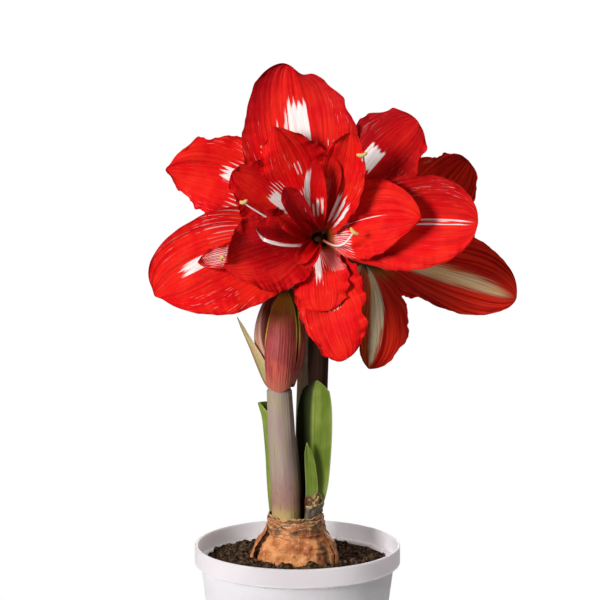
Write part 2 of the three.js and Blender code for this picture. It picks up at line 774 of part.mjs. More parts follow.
function makeStamen(flower, { turn, length, open }) {
  const { origin, forward, up, right } = flowerFrame(flower);
  const outward = right.clone().multiplyScalar(Math.cos(radians(turn)));
  outward.addScaledVector(up, Math.sin(radians(turn)));
  const start = origin.clone().addScaledVector(forward, 12).addScaledVector(outward, 2);
  const bend = start.clone().addScaledVector(forward, length * 0.6);
  const tip = bend.clone()
    .addScaledVector(forward, length * 0.4 * Math.cos(radians(open * 1.6)))
    .addScaledVector(outward, length * 0.6 * Math.sin(radians(open)));
  const radiusAt = (t) => (t < 0.8 ? 0.8 : 1.8 - 8 * Math.abs(t - 0.9));
  return toSolid(stem(new THREE.QuadraticBezierCurve3(start, bend, tip), radiusAt, 5, 4));
}

function makeBloom(flower, petals) {
  const { origin, forward, up, right } = flowerFrame(flower);
  // the short tube, and the small core that every petal starts from
  const core = [[0, 5.2], [5, 6.4], [9, 6.2], [15, 4.4], [20, 1.6]].map(([rise, radius]) => (
    Array.from({ length: CORE_SIDES }, (_, i) => {
      const angle = (TURN * i) / CORE_SIDES;
      return origin.clone()
        .addScaledVector(forward, rise)
        .addScaledVector(right, radius * Math.cos(angle))
        .addScaledVector(up, radius * Math.sin(angle));
    })
  ));
  const blades = petals.map((petal) => toSolid(sheet(petalRows(flower, petal), () => PETAL_THICKNESS)));
  const stamens = STAMENS.map((stamen) => makeStamen(flower, stamen));
  return fuse([toSolid(loft(core)), ...blades, ...stamens]);
}

// ---------------------------------------------------------------- finishes

function finish(color, roughness) {
  return new THREE.MeshStandardMaterial({ color, roughness, metalness: 0 });
}

const PLASTIC = finish('#e9e9ea', 0.45);
const PEAT = finish('#3a2a20', 0.95);
const TUNIC = finish('#b06a35', 0.6);
const SCAPE = finish('#8a8a6c', 0.5);
const LEAF = finish('#8d9a62', 0.5);
const SHEATH = finish('#b06a62', 0.55);
const PETAL = finish('#d8221e', 0.4);
const DRY = finish('#a9825a', 0.8);

// ---------------------------------------------------------------- assembly

const amaryllis = new THREE.Group();

function addPiece(name, solid, material) {
  const mesh = new THREE.Mesh(toGeometry(solid), material.clone());
  mesh.name = name;
  amaryllis.add(mesh);
}

addPiece('pot', makePot(), PLASTIC);
addPiece('potting_soil', makeSoil(), PEAT);
addPiece('bulb', makeBulb(), TUNIC);
addPiece('leaf_stub_right', makeLeafStub(), LEAF);
for (const [name, leaf] of Object.entries(LEAVES)) addPiece(name, toSolid(leafBlade(leaf)), LEAF);
addPiece('scape_bud', scapeBody(SCAPE_BUD, 0), SCAPE);
addPiece('scape_bloom', scapeBody(SCAPE_BLOOM, 0), SCAPE);
addPiece('bud_spathe_front', spatheValve(SPATHE_FRONT), SHEATH);
addPiece('bud_spathe_back', spatheValve(SPATHE_BACK), SHEATH);
addPiece('bud_flowers', makeBudFlowers(), PETAL);
addPiece('bud_bract', toSolid(leafBlade(BUD_BRACT)), DRY);
for (const [name, valve] of Object.entries(DRY_SPATHES)) addPiece(name, toSolid(leafBlade(valve)), DRY);
addPiece('pedicel_front', makePedicel([7.4, 8.6, SCAPE_TOP.bloom + CLEARANCE], FLOWER_FRONT), SCAPE);
addPiece('pedicel_back', makePedicel([16.6, 14.4, SCAPE_TOP.bloom + CLEARANCE], FLOWER_BACK), SCAPE);
addPiece('bloom_front', makeBloom(FLOWER_FRONT, PETALS_FRONT), PETAL);
addPiece('bloom_back', makeBloom(FLOWER_BACK, PETALS_BACK), PETAL);

export default amaryllis;
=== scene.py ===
"""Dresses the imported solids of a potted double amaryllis.

Shapes are worked out in millimetres, in the frame of the solids: +Z is up, the
origin is the centre of the pot's base and the front flower looks along -Y. Every
mesh is turned into metres when it is made. On a sheet, t runs along it from 0 to 1
and s across it from -1 to 1.
"""

import math
from dataclasses import dataclass, field

import bpy
import numpy as np
from bpy.props import FloatProperty, FloatVectorProperty, IntProperty, PointerProperty
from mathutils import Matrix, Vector


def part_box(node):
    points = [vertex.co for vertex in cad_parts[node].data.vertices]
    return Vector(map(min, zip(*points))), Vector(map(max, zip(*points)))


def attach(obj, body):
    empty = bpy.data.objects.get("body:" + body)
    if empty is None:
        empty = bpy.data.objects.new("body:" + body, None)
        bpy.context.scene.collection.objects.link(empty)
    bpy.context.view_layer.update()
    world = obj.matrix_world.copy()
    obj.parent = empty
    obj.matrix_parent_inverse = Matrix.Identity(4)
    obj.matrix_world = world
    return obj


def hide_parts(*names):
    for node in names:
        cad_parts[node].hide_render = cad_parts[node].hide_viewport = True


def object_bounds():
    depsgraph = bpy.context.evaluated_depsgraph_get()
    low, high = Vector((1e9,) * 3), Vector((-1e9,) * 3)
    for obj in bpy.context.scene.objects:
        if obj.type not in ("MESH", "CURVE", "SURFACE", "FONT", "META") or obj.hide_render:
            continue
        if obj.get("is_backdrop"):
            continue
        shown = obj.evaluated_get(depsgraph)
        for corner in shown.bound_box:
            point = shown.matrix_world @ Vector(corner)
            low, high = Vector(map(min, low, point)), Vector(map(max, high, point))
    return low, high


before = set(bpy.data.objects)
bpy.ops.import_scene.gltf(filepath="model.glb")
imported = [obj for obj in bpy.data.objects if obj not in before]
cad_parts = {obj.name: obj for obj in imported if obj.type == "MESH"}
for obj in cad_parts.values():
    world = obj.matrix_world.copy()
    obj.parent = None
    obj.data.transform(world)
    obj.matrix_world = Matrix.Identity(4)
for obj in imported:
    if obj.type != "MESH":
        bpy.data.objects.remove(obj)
CAD_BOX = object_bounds()

bl_info = {
    "name": "Potted double amaryllis",
    "version": (1, 0, 0),
    "blender": (4, 5, 0),
    "location": "3D View > Sidebar > Amaryllis",
    "description": "Makes the visible pieces and finishes of a potted double amaryllis",
    "category": "Add Mesh",
}

# ------------------------------------------------------------------ dimensions

MM = 0.001
TURN = 2 * math.pi
BODY = "root"

POT_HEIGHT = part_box("pot")[1].z / MM
RIM_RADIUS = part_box("pot")[1].x / MM
RIM_BAND = 13.6
RIM_STEP = 4.4
BASE_RADIUS = 56
POT_WALL = 2.2
POT_FLOOR = 4
DRAIN_HOLES = 6
DRAIN_RADIUS = 3
DRAIN_CIRCLE = 38

SOIL_LEVEL = 113.4
FIBRE_RADIUS = 0.22
CRUMB_GRAIN = 1 / 0.9  # width of the crumbs' dents
CRUMB_UNEVENNESS = 2.2
SOIL_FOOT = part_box("potting_soil")[0].z / MM
CLEARANCE = 0.3

BULB_CENTRE = (-1.4, 0)
NECK_TOP = 147.5
THROAT_FLOOR = 136
BULB_FOOT = 73
ROOTS = 6
ROOT_LENGTH = 52
ROOT_RADIUS = 2.3
# height and radius of the bulb
BULB_PROFILE = [
    (BULB_FOOT, 9), (75, 13.5), (79, 19.5), (85, 26), (93, 31), (101, 33), (109, 32.6), (116, 31),
    (123, 29.2), (129, 27.2), (133, 24.9), (136, 22.6), (140, 21.2), (144, 20.2), (147.5, 19.4),
]
# torn collars of the dry coats round the neck: foot, top, stand-off, flare, raggedness
COLLARS = [
    (138, 143.8, 0.4, 0.5, 0.8), (140, 146.2, 0.6, 0.9, 0.7), (142, 148.6, 0.6, 1.0, 0.7),
    (144, 151, 0.2, 0.3, 0.9),
]

# level sections of the two flower stalks: height, centre x, centre y, radius
STALK_BUD = [
    (112.3, -8.2, -7, 9.8), (147, -8.2, -7, 10), (170, -9.2, -7.2, 10.2),
    (195, -10.6, -7.4, 9.9), (220, -12, -7.6, 9.5), (243, -13, -7.6, 9.3),
]
STALK_BLOOM = [
    (112.3, 5.5, 12, 9.8), (147, 5.8, 12, 10.1), (175, 7.6, 12, 10.6), (210, 9.6, 12, 11),
    (250, 11.2, 12, 11.2), (285, 11.9, 12, 11), (312, 12, 12, 10.8),
]
STALK_DEPTH = 0.97  # front to back, as a share of the width

# how finely the pieces are divided
STALK_ROWS, STALK_SIDES = 110, 96
STEM_ROWS, STEM_SIDES = 90, 42
BLADE_ROWS, BLADE_COLUMNS = 90, 30
PETAL_ROWS, PETAL_COLUMNS = 104, 38
TIP_CROWDING = 1.35  # how much closer a petal's rows are at its tip
TUBE_LENGTH = 20  # of the green tube under the petals
TUBE_RADIUS = 3  # where the petals leave the flower's tube


# ------------------------------------------------------------------ small tools

def unit(vectors):
    """The same directions, one long."""
    return vectors / np.maximum(np.linalg.norm(vectors, axis=-1, keepdims=True), 1e-12)


def eased(value, low, high):
    """0 at low, 1 at high and a smooth rise between them."""
    share = np.clip((value - low) / (high - low), 0, 1)
    return share * share * (3 - 2 * share)


def mix(low, high, share):
    return low + (high - low) * share


def along(pairs, at):
    """Value at a place on a smooth curve through (place, value) pairs."""
    places, values = np.array(pairs, float).T
    slopes = np.gradient(values, places)
    at = np.clip(at, places[0], places[-1])
    i = np.clip(np.searchsorted(places, at, side="right") - 1, 0, len(places) - 2)
    span = places[i + 1] - places[i]
    u = (at - places[i]) / span
    start = values[i] * (1 + 2 * u) * (1 - u) ** 2 + slopes[i] * span * u * (1 - u) ** 2
    return start + values[i + 1] * u * u * (3 - 2 * u) - slopes[i + 1] * span * u * u * (1 - u)


def path_through(points, count):
    """Evenly numbered points on a smooth path through a few given ones."""
    steps = np.linspace(0, len(points) - 1, count)
    columns = np.array(points, float).T
    return np.stack([along(list(enumerate(column)), steps) for column in columns], axis=1)


def bezier(points, count):
    """Points on the cubic curve with these four control points."""
    t = np.linspace(0, 1, count)[:, None]
    a, b, c, d = np.array(points, float)
    return a * (1 - t) ** 3 + 3 * b * t * (1 - t) ** 2 + 3 * c * t * t * (1 - t) + d * t ** 3


def waves(seed, *fields, count=5):
    """Seeded smooth unevenness, mostly between -1 and 1, over fields counted in waves."""
    draw = np.random.default_rng(seed)
    total = 0
    for _ in range(count):
        turns = sum(draw.uniform(-1, 1) * values for values in fields)
        total = total + np.sin(TURN * (turns + draw.random()))
    return total / math.sqrt(count)


def stack(*parts):
    """A field of vectors from its three parts, which may be numbers."""
    return np.stack(np.broadcast_arrays(*[np.asarray(part, float) for part in parts]), axis=-1)


# ------------------------------------------------------------------ skins

@dataclass
class Skin:
    """A closed surface in millimetres, and the fields that its finish reads."""

    points: np.ndarray
    faces: list
    fields: dict = field(default_factory=dict)

    def volume(self):
        total = 0
        for group in self.faces:
            corners = self.points[group]
            for k in range(1, group.shape[1] - 1):
                spread = np.cross(corners[:, k], corners[:, k + 1])
                total += np.einsum("ij,ij->", corners[:, 0], spread)
        return total

    def outward(self):
        """The same skin with its faces looking out."""
        if self.volume() < 0:
            self.faces = [group[:, ::-1] for group in self.faces]
        return self


def sheet(rows, thickness, fields):
    """Closed sheet round a grid of points. Its front is on the side of lengthwise x across."""
    count, width = rows.shape[:2]
    normal = unit(np.cross(np.gradient(rows, axis=0), np.gradient(rows, axis=1)))
    half = np.broadcast_to(thickness, (count, width))[..., None] / 2
    points = np.concatenate([(rows + normal * half).reshape(-1, 3), (rows - normal * half).reshape(-1, 3)])
    index = np.arange(count * width).reshape(count, width)
    quads = np.stack([index[:-1, :-1], index[:-1, 1:], index[1:, 1:], index[1:, :-1]], axis=-1).reshape(-1, 4)
    border = np.concatenate([index[0, :-1], index[:-1, -1], index[-1, :0:-1], index[:0:-1, 0]])
    after = np.roll(border, -1)
    under = index.size
    edge = np.stack([border, after, after + under, border + under], axis=-1)
    both = {}
    for name, values in fields.items():
        flat = np.broadcast_to(values, (count, width, 3)).reshape(-1, 3)
        both[name] = np.concatenate([flat, flat])
    both["grain"][under:, 2] = 1
    return Skin(points, [quads[:, ::-1], quads + under, edge], both).outward()


def turned_sheet(rows, thickness, fields):
    """Closed sheet as above, with its front on the other side."""
    turned = {name: np.broadcast_to(values, (*rows.shape[:2], 3))[:, ::-1] for name, values in fields.items()}
    return sheet(rows[:, ::-1], thickness, turned)


def ring_skin(rings, fields):
    """Closed skin through rings of points, with a fan at each end."""
    count, sides = rings.shape[:2]
    flat = rings.reshape(-1, 3)
    points = np.concatenate([flat, rings[:1].mean(1), rings[-1:].mean(1)])
    index = np.arange(count * sides).reshape(count, sides)
    after = np.roll(index, -1, axis=1)
    quads = np.stack([index[:-1], after[:-1], after[1:], index[1:]], axis=-1).reshape(-1, 4)
    first = np.full(sides, count * sides)
    start = np.stack([after[0], index[0], first], axis=-1)
    end = np.stack([index[-1], after[-1], first + 1], axis=-1)
    capped = {}
    for name, values in fields.items():
        grid = np.broadcast_to(values, (count, sides, 3))
        capped[name] = np.concatenate([grid.reshape(-1, 3), grid[:1].mean(1), grid[-1:].mean(1)])
    return Skin(points, [quads, np.concatenate([start, end])], capped).outward()


def tube(path, radii, sides):
    """Closed round skin along a path. radii has one number a row, or one a point."""
    path = np.asarray(path, float)
    ahead = unit(np.gradient(path, axis=0))
    side = np.array([1.0, 0.1, 0.05])
    sides_of_rows = []
    for direction in ahead:
        side = unit(side - direction * (side @ direction))
        sides_of_rows.append(side)
    across = np.array(sides_of_rows)[:, None]
    behind = np.cross(ahead[:, None], across)
    angle = (np.arange(sides) * TURN / sides)[None, :, None]
    radii = np.asarray(radii, float)
    reach = radii[:, None, None] if radii.ndim == 1 else radii[:, :, None]
    rings = path[:, None] + reach * (across * np.cos(angle) + behind * np.sin(angle))
    t = np.linspace(0, 1, len(path))[:, None]
    grain = stack(np.cos(angle[..., 0]), np.sin(angle[..., 0]), t)
    return ring_skin(rings, {"grain": grain})


def lathe(profile, sides):
    """Closed skin turned round the Z axis from (radius, height) pairs."""
    angle = np.arange(sides) * TURN / sides
    radius, height = np.array(profile, float).T[..., None]
    rings = stack(radius * np.cos(angle), radius * np.sin(angle), height)
    return ring_skin(rings, {})


def arc(centre, radius, start, end, count=5):
    """Points on a round edge of a profile, between two angles in degrees."""
    angles = np.radians(np.linspace(start, end, count))
    return [(centre[0] + radius * math.cos(a), centre[1] + radius * math.sin(a)) for a in angles]


def make_mesh(name, skins, crease=50):
    """One mesh of several skins, in metres, smooth but for edges past a crease angle."""
    faces = []
    before = 0
    for skin in skins:
        for group in skin.faces:
            faces += (group + before).tolist()
        before += len(skin.points)
    mesh = bpy.data.meshes.new(name)
    mesh.from_pydata((np.concatenate([skin.points for skin in skins]) * MM).tolist(), [], faces)
    for key in skins[0].fields:
        values = np.concatenate([skin.fields[key] for skin in skins])
        mesh.attributes.new(key, "FLOAT_VECTOR", "POINT").data.foreach_set("vector", values.ravel())
    mesh.shade_smooth()
    mesh.set_sharp_from_angle(angle=math.radians(crease))
    return mesh


def link(name, mesh):
    piece = bpy.data.objects.new(name, mesh)
    bpy.context.scene.collection.objects.link(piece)
    return piece


def dress(piece, node):
    """Makes a finished piece stand for a solid, on the plant's one body."""
    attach(piece, BODY)
    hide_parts(node)


def add_piece(name, skins, finish, node, crease=50):
    mesh = make_mesh(name, skins, crease)
    mesh.materials.append(finish)
    piece = link(name, mesh)
    dress(piece, node)
    return piece


def applied(piece):
    """Turns what a piece's modifiers make into its own plain mesh."""
    graph = bpy.context.evaluated_depsgraph_get()
    mesh = bpy.data.meshes.new_from_object(piece.evaluated_get(graph), depsgraph=graph)
    piece.modifiers.clear()
    piece.data = mesh


# ------------------------------------------------------------------ finishes

class Value:
    """A socket of a node tree. Arithmetic on it adds Math nodes."""

    def __init__(self, graph, socket):
        self.graph = graph
        self.socket = socket

    def math(self, operation, *numbers):
        return self.graph.node("ShaderNodeMath", {"operation": operation}, numbers)

    def __add__(self, other):
        return self.math("ADD", self, other)

    def __sub__(self, other):
        return self.math("SUBTRACT", self, other)

    def __rsub__(self, other):
        return self.math("SUBTRACT", other, self)

    def __mul__(self, other):
        return self.math("MULTIPLY", self, other)

    def __truediv__(self, other):
        return self.math("DIVIDE", self, other)

    def __abs__(self):
        return self.math("ABSOLUTE", self)

    def __or__(self, other):
        """The larger of the two."""
        return self.math("MAXIMUM", self, other)

    __radd__ = __add__
    __rmul__ = __mul__


class Graph:
    """A node tree under construction."""

    def __init__(self, tree):
        self.tree = tree
        tree.nodes.clear()

    def node(self, kind, settings=None, inputs=(), output=0):
        """Adds a node, makes its settings, then fills its sockets with values or links.

        A socket that takes several links is given a list of them.
        """
        node = self.tree.nodes.new(kind)
        for name, setting in (settings or {}).items():
            setattr(node, name, setting)
        for name, given in inputs.items() if isinstance(inputs, dict) else enumerate(inputs):
            for value in given if isinstance(given, list) else [given]:
                if isinstance(value, Value):
                    self.tree.links.new(value.socket, node.inputs[name])
                else:
                    node.inputs[name].default_value = value
        return Value(self, node.outputs[output])

    def end(self, kind, value):
        """Adds the tree's output node."""
        self.tree.links.new(value.socket, self.tree.nodes.new(kind).inputs[0])


class Finish(Graph):
    """A material under construction."""

    def __init__(self, name):
        self.material = bpy.data.materials.new(name)
        self.material.use_nodes = True
        super().__init__(self.material.node_tree)

    def field(self, name):
        """The three numbers that the mesh holds under a name at each point."""
        stored = self.node("ShaderNodeAttribute", {"attribute_name": name}, output="Vector")
        return self.split(stored)

    def place(self):
        """Where the point is on the piece, in millimetres."""
        spot = self.node("ShaderNodeTexCoord", output="Object")
        return [part / MM for part in self.split(spot)]

    def split(self, vector):
        first = self.node("ShaderNodeSeparateXYZ", inputs=(vector,))
        return [Value(self, socket) for socket in first.socket.node.outputs]

    def noise(self, x, y, z, detail=2, roughness=0.5):
        """Smooth random number, about 0.5, that changes once per unit of x, y and z."""
        vector = self.node("ShaderNodeCombineXYZ", inputs=(x, y, z))
        inputs = {"Vector": vector, "Scale": 1, "Detail": detail, "Roughness": roughness}
        return self.node("ShaderNodeTexNoise", inputs=inputs)

    def step(self, value, low, high):
        """0 below low, 1 above high and a smooth rise between them."""
        settings = {"interpolation_type": "SMOOTHSTEP"}
        return self.node("ShaderNodeMapRange", settings, (value, low, high))

    def blend(self, factor, first, second):
        """Colour between two, each a plain colour or another blend."""
        colors = [c if isinstance(c, Value) else solid(c) for c in (first, second)]
        inputs = {0: factor, 6: colors[0], 7: colors[1]}
        return self.node("ShaderNodeMix", {"data_type": "RGBA"}, inputs, output=2)

    def coats(self, color, *coats):
        """A colour under coats of (strength, tint), painted one over the other."""
        for strength, tint in coats:
            color = self.blend(strength, color, tint)
        return color

    def done(self, color, roughness, height, depth, strength, specular=0.5, constants=None):
        """Ends the finish, with a relief of a height up to depth millimetres.

        specular and the constants go on the shader's own sockets as they are.
        """
        relief = {"Strength": strength, "Distance": depth * MM, "Height": height}
        inputs = {
            "Base Color": color if isinstance(color, Value) else solid(color),
            "Roughness": roughness,
            "Specular IOR Level": specular,
            "Normal": self.node("ShaderNodeBump", inputs=relief),
        }
        shader = self.node("ShaderNodeBsdfPrincipled", inputs={**inputs, **(constants or {})})
        self.end("ShaderNodeOutputMaterial", shader)
        return self.material


def solid(color):
    return (*color[:3], 1)


def darker(color, share):
    """The same tint with this share of its brightness."""
    return [part * share for part in color]


def pot_finish(settings):
    """Satin white plastic with painted light: all but the rim band's outside is a little lighter. A little
    peat dust inside the rim.
    """
    finish = Finish("pot_plastic")
    x, y, z = finish.place()
    cloud = finish.noise(x / 30, y / 30, z / 30)
    flow = finish.noise(x / 60, y / 60, z / 1.5, detail=3)
    radius = finish.node("ShaderNodeMath", {"operation": "SQRT"}, (x * x + y * y,))
    inside = 1 - finish.step(radius, RIM_RADIUS - 1.6, RIM_RADIUS - 1.2)
    low = finish.step(z, SOIL_LEVEL - 0.9, SOIL_LEVEL - 0.5)
    low = low * (1 - finish.step(z, SOIL_LEVEL - 1, SOIL_LEVEL + 7))
    specks = finish.step(finish.noise(x * 0.9, y * 0.9, z * 0.9, detail=4), 0.6, 0.68)
    smear = finish.step(finish.noise(x / 9, y / 9, z / 4), 0.5, 0.75) * 0.35
    dust = inside * low * (specks * 0.75 + smear)
    # painted light: the inner walls and the body get the full plastic colour, the rim band's outside a dimmer
    # one, in soft patches
    dimmer_rim_band = finish.blend(cloud, darker(settings.plastic, 0.83), darker(settings.plastic, 0.79))
    plastic = finish.blend(inside, dimmer_rim_band, settings.plastic)
    peat_dust = (0.16, 0.10, 0.06)
    color = finish.blend(dust, plastic, peat_dust)
    roughness = 0.4 + 0.12 * cloud + 0.3 * dust
    relief = flow + finish.noise(x * 3, y * 3, z * 3) * 0.4
    milky = {"Subsurface Weight": 0.9, "Subsurface Radius": (1, 1, 1), "Subsurface Scale": 10 * MM}
    return finish.done(color, roughness, relief, 0.05, 0.4, 0.06, milky)


def peat_finish(settings):
    """Damp crumbly peat: near black, with browner crumbs and pale scraps."""
    finish = Finish("peat")
    x, y, z = finish.place()
    crumb = finish.noise(x * 0.45, y * 0.45, z * 0.45, detail=4, roughness=0.6)
    scrap = finish.step(finish.noise(x * 0.7 + 40, y * 0.7, z * 0.7, detail=2), 0.64, 0.72)
    color = finish.blend(finish.step(crumb, 0.42, 0.68), darker(settings.peat, 0.12), settings.peat)
    color = finish.blend(scrap * 0.6, color, settings.fibre)
    fine = finish.noise(x * 2.5, y * 2.5, z * 2.5, detail=4, roughness=0.7)
    return finish.done(color, 0.98 - 0.2 * crumb, fine + crumb, 0.5, 0.9, 0.1)


def tunic_finish(settings):
    """Dry papery coats of the bulb: lengthwise grain, dark blotches, pale torn edges, and painted shade in
    the coat's split and down the neck.
    """
    finish = Finish("bulb_tunic")
    x, y, z = finish.place()
    dark, dull, pale = finish.field("marks")
    side = finish.field("grain")[2]
    cloud = finish.noise(x / 11, y / 11, z / 8, detail=4, roughness=0.55)
    blotch = finish.noise(x / 5, y / 5 + 7, z / 4, detail=4, roughness=0.6)
    grain = finish.noise(x / 1.3, y / 1.3, z / 9, detail=4, roughness=0.65)
    spots = finish.noise(x / 1.6 + 9, y / 1.6, z / 1.8, detail=3)
    crinkle = finish.noise(x / 4, y / 4, z / 0.9, detail=3)
    brown = settings.tunic_dark
    straw, spot, bruise = (0.80, 0.46, 0.24), (0.10, 0.03, 0.014), (0.13, 0.075, 0.042)
    painted_gap_shade, lining = (0.035, 0.012, 0.006), (0.07, 0.026, 0.014)
    ridges = finish.step(crinkle, 0.46, 0.6) * finish.step(pale, 0.15, 0.4)
    color = finish.coats(
        finish.blend(finish.step(cloud, 0.4, 0.6), settings.tunic, settings.tunic_pale),
        (finish.step(blotch, 0.52, 0.68) * 0.65, brown),
        (finish.step(grain, 0.54, 0.74) * 0.2, brown),
        (finish.step(spots, 0.62, 0.72) * 0.55, spot),
        (finish.step(1 - blotch, 0.56, 0.68) * 0.45, straw),
        (ridges * 0.6, brown),
        (finish.step(pale + (grain - 0.5) * 1.2, 0.5, 0.85), settings.tunic_torn),
        (finish.step(dull + (blotch - 0.5) * 1.2, 0.3, 0.8) * 0.85, bruise),
        # painted shade, near black, in the coat's split and inside the neck's throat, partly the coat's
        # darker inner layer
        (finish.step(dark + (grain - 0.5) * 0.3, 0.3, 0.65), painted_gap_shade),
        (side * 0.6, lining),
    )
    roughness = 0.42 + 0.25 * cloud + 0.2 * finish.step(pale, 0.3, 0.8)
    relief = grain * 0.4 + 0.4 * spots + crinkle * 0.4 + blotch
    return finish.done(color, roughness, relief, 0.35, 0.7, 0.35)


def stalk_finish(name, blush, green, painted_side_shade):
    """Waxy flower stalk: fine streaks, tan where it leaves the bulb, and painted shade on its right, reaching
    to the front.
    """
    finish = Finish(name)
    around, behind, _ = finish.field("grain")
    _, _, z = finish.place()
    tan, rose = (0.58, 0.42, 0.14), (0.36, 0.13, 0.11)
    scratch, dark = (0.14, 0.05, 0.08), (0.030, 0.006, 0.004)
    streak = finish.noise(around * 12, behind * 12, z / 42, detail=4, roughness=0.6)
    fine = finish.noise(around * 34, behind * 34, z / 16, detail=3)
    cloud = finish.noise(around * 1.2, behind * 1.2, z / 30, detail=2)
    rosy = finish.step(z, NECK_TOP, NECK_TOP + 8) * (1 - finish.step(z, NECK_TOP + 12, NECK_TOP + 46))
    base = 1 - finish.step(z + (streak - 0.5) * 10, NECK_TOP + 2, NECK_TOP + 15)
    wiggle = finish.noise(around * 26, behind * 26, z / 5, detail=3)
    # painted shade on the stalk's right and front; its strength is the last argument
    right = finish.step(around * 0.9 - behind * 0.5 + (streak - 0.5) * 0.5, 0.0, 0.3)
    color = finish.coats(
        finish.blend(finish.step(cloud + (streak - 0.5) * 0.5, 0.36, 0.66), blush, green),
        (finish.step(streak, 0.5, 0.72) * 0.45, darker(blush, 0.5)),
        (finish.step(fine, 0.56, 0.7) * 0.3, [min(1, c * 1.5) for c in green]),
        (rosy * 0.55, rose),
        (base * 0.85, tan),
        (finish.step(wiggle, 0.56, 0.68) * rosy * 0.6, scratch),
        (right * painted_side_shade, dark),
    )
    return finish.done(color, 0.42 + 0.25 * streak, streak + 0.4 * fine, 0.16, 0.7, 0.06)


def leaf_finish(settings):
    """Fleshy strap leaf: parallel veins, paler margin, yellower foot, and painted shadow past the crease of a
    leaf folded back.
    """
    finish = Finish("leaf")
    across, length, back = finish.field("grain")
    x, y, z = finish.place()
    hem, yellow = (0.36, 0.44, 0.16), (0.36, 0.4, 0.14)
    withered, shadow = (0.24, 0.12, 0.06), (0.004, 0.007, 0.002)
    vein = finish.noise(across * 16, length * 1.4, 0.3, detail=3)
    fine = finish.noise(across * 44, length * 7, 0.8, detail=2)
    cloud = finish.noise(x / 14, y / 14, z / 26)
    margin = finish.step(abs(across), 0.88, 0.98)
    foot = 1 - finish.step(z, NECK_TOP - 2, NECK_TOP + 30)
    dry = 1 - finish.step(z + (vein - 0.5) * 16, NECK_TOP + 8, NECK_TOP + 17)
    color = finish.coats(
        finish.blend(finish.step(cloud, 0.34, 0.68), settings.leaf, settings.leaf_pale),
        (finish.step(vein, 0.5, 0.66) * 0.4, darker(settings.leaf, 0.55)),
        (finish.step(fine, 0.58, 0.7) * 0.25, settings.leaf_pale),
        (back * 0.25, settings.leaf_pale),
        (margin * 0.5, hem),
        (foot * 0.4, yellow),
        (dry * finish.step(abs(across), 0.3, 0.6) * 0.8, withered),
        # painted shadow, near black, past the crease of a leaf folded back
        (finish.field("marks")[0], shadow),
    )
    return finish.done(color, 0.4 + 0.2 * vein, vein + 0.35 * fine, 0.2, 0.7, 0.1)


def stub_finish():
    """Cut leaf base: grey-green and spotted below, dry orange-brown and torn above."""
    finish = Finish("leaf_stub")
    across, length, _ = finish.field("grain")
    x, y, z = finish.place()
    dry, _, _ = finish.field("marks")
    mauve, green, mould = (0.30, 0.22, 0.20), (0.20, 0.20, 0.09), (0.025, 0.018, 0.012)
    brown, orange, straw = (0.11, 0.035, 0.012), (0.50, 0.25, 0.08), (0.55, 0.42, 0.2)
    cloud = finish.noise(x / 5, y / 5, z / 6, detail=3)
    grain = finish.noise(across * 9, length * 1.6, 0.5, detail=4, roughness=0.65)
    specks = finish.step(finish.noise(x * 0.8, y * 0.8, z * 0.6, detail=2), 0.6, 0.7)
    fresh = finish.blend(finish.step(cloud, 0.35, 0.65), mauve, green)
    fresh = finish.blend(specks * 0.8, fresh, mould)
    parched = finish.blend(finish.step(grain, 0.36, 0.66), brown, orange)
    torn = finish.step(dry + (grain - 0.5) * 0.7, 0.35, 0.65)
    rim = finish.step(length + (grain - 0.5) * 0.12, 0.93, 0.98)
    color = finish.coats(
        finish.blend(torn, fresh, parched),
        (rim * 0.8, straw),
    )
    return finish.done(color, 0.55 + 0.3 * torn, grain + specks * 0.4, 0.4, 0.8)


def sheath_finish(settings):
    """Papery sheath of the bud: rosy, finely veined, yellower to the tip and the edges, with painted shade at
    the very tip.
    """
    finish = Finish("bud_sheath")
    across, length, back = finish.field("grain")
    x, y, z = finish.place()
    rose, crimson, coral = (0.60, 0.27, 0.22), (0.16, 0.02, 0.025), (0.46, 0.145, 0.09)
    yellow, lemon = (0.66, 0.52, 0.05), (0.70, 0.58, 0.07)
    tip, lining = (0.07, 0.014, 0.008), (0.3, 0.17, 0.08)
    sway = finish.noise(across * 2, length * 7, 0.4) - 0.5
    vein = finish.noise((across + sway * 0.12) * 17, length * 1.6, 0.2, detail=4, roughness=0.65)
    fine = finish.noise((across + sway * 0.12) * 44, length * 6, 0.6, detail=2)
    cloud = finish.noise(x / 12, y / 12, z / 20)
    foot = 1 - finish.step(length + (vein - 0.5) * 0.1, 0.02, 0.2)
    upper = finish.step(length + (vein - 0.5) * 0.5, 0.66, 0.86)
    hem = finish.step(abs(across) + (fine - 0.5) * 0.1, 0.88, 0.95) * finish.step(length, 0.3, 0.55)
    # painted shade: the very tip near black, where the flowers' shadow falls
    painted_tip_shade = finish.step(length + (vein - 0.5) * 0.2, 0.88, 0.97)
    color = finish.coats(
        finish.blend(finish.step(cloud, 0.35, 0.65), settings.sheath, settings.sheath_deep),
        (finish.step(vein, 0.5, 0.6) * 0.75, darker(settings.sheath, 0.38)),
        (finish.step(1 - vein, 0.54, 0.7) * 0.4, rose),
        (finish.step(fine, 0.54, 0.66) * 0.4, crimson),
        (foot * 0.6, coral),
        (upper * 0.9, yellow),
        (hem * 0.9, lemon),
        (painted_tip_shade * 0.9, tip),
        (back * 0.6, lining),
    )
    return finish.done(color, 0.42 + 0.2 * vein, vein + 0.3 * fine, 0.25, 0.8, 0.25)


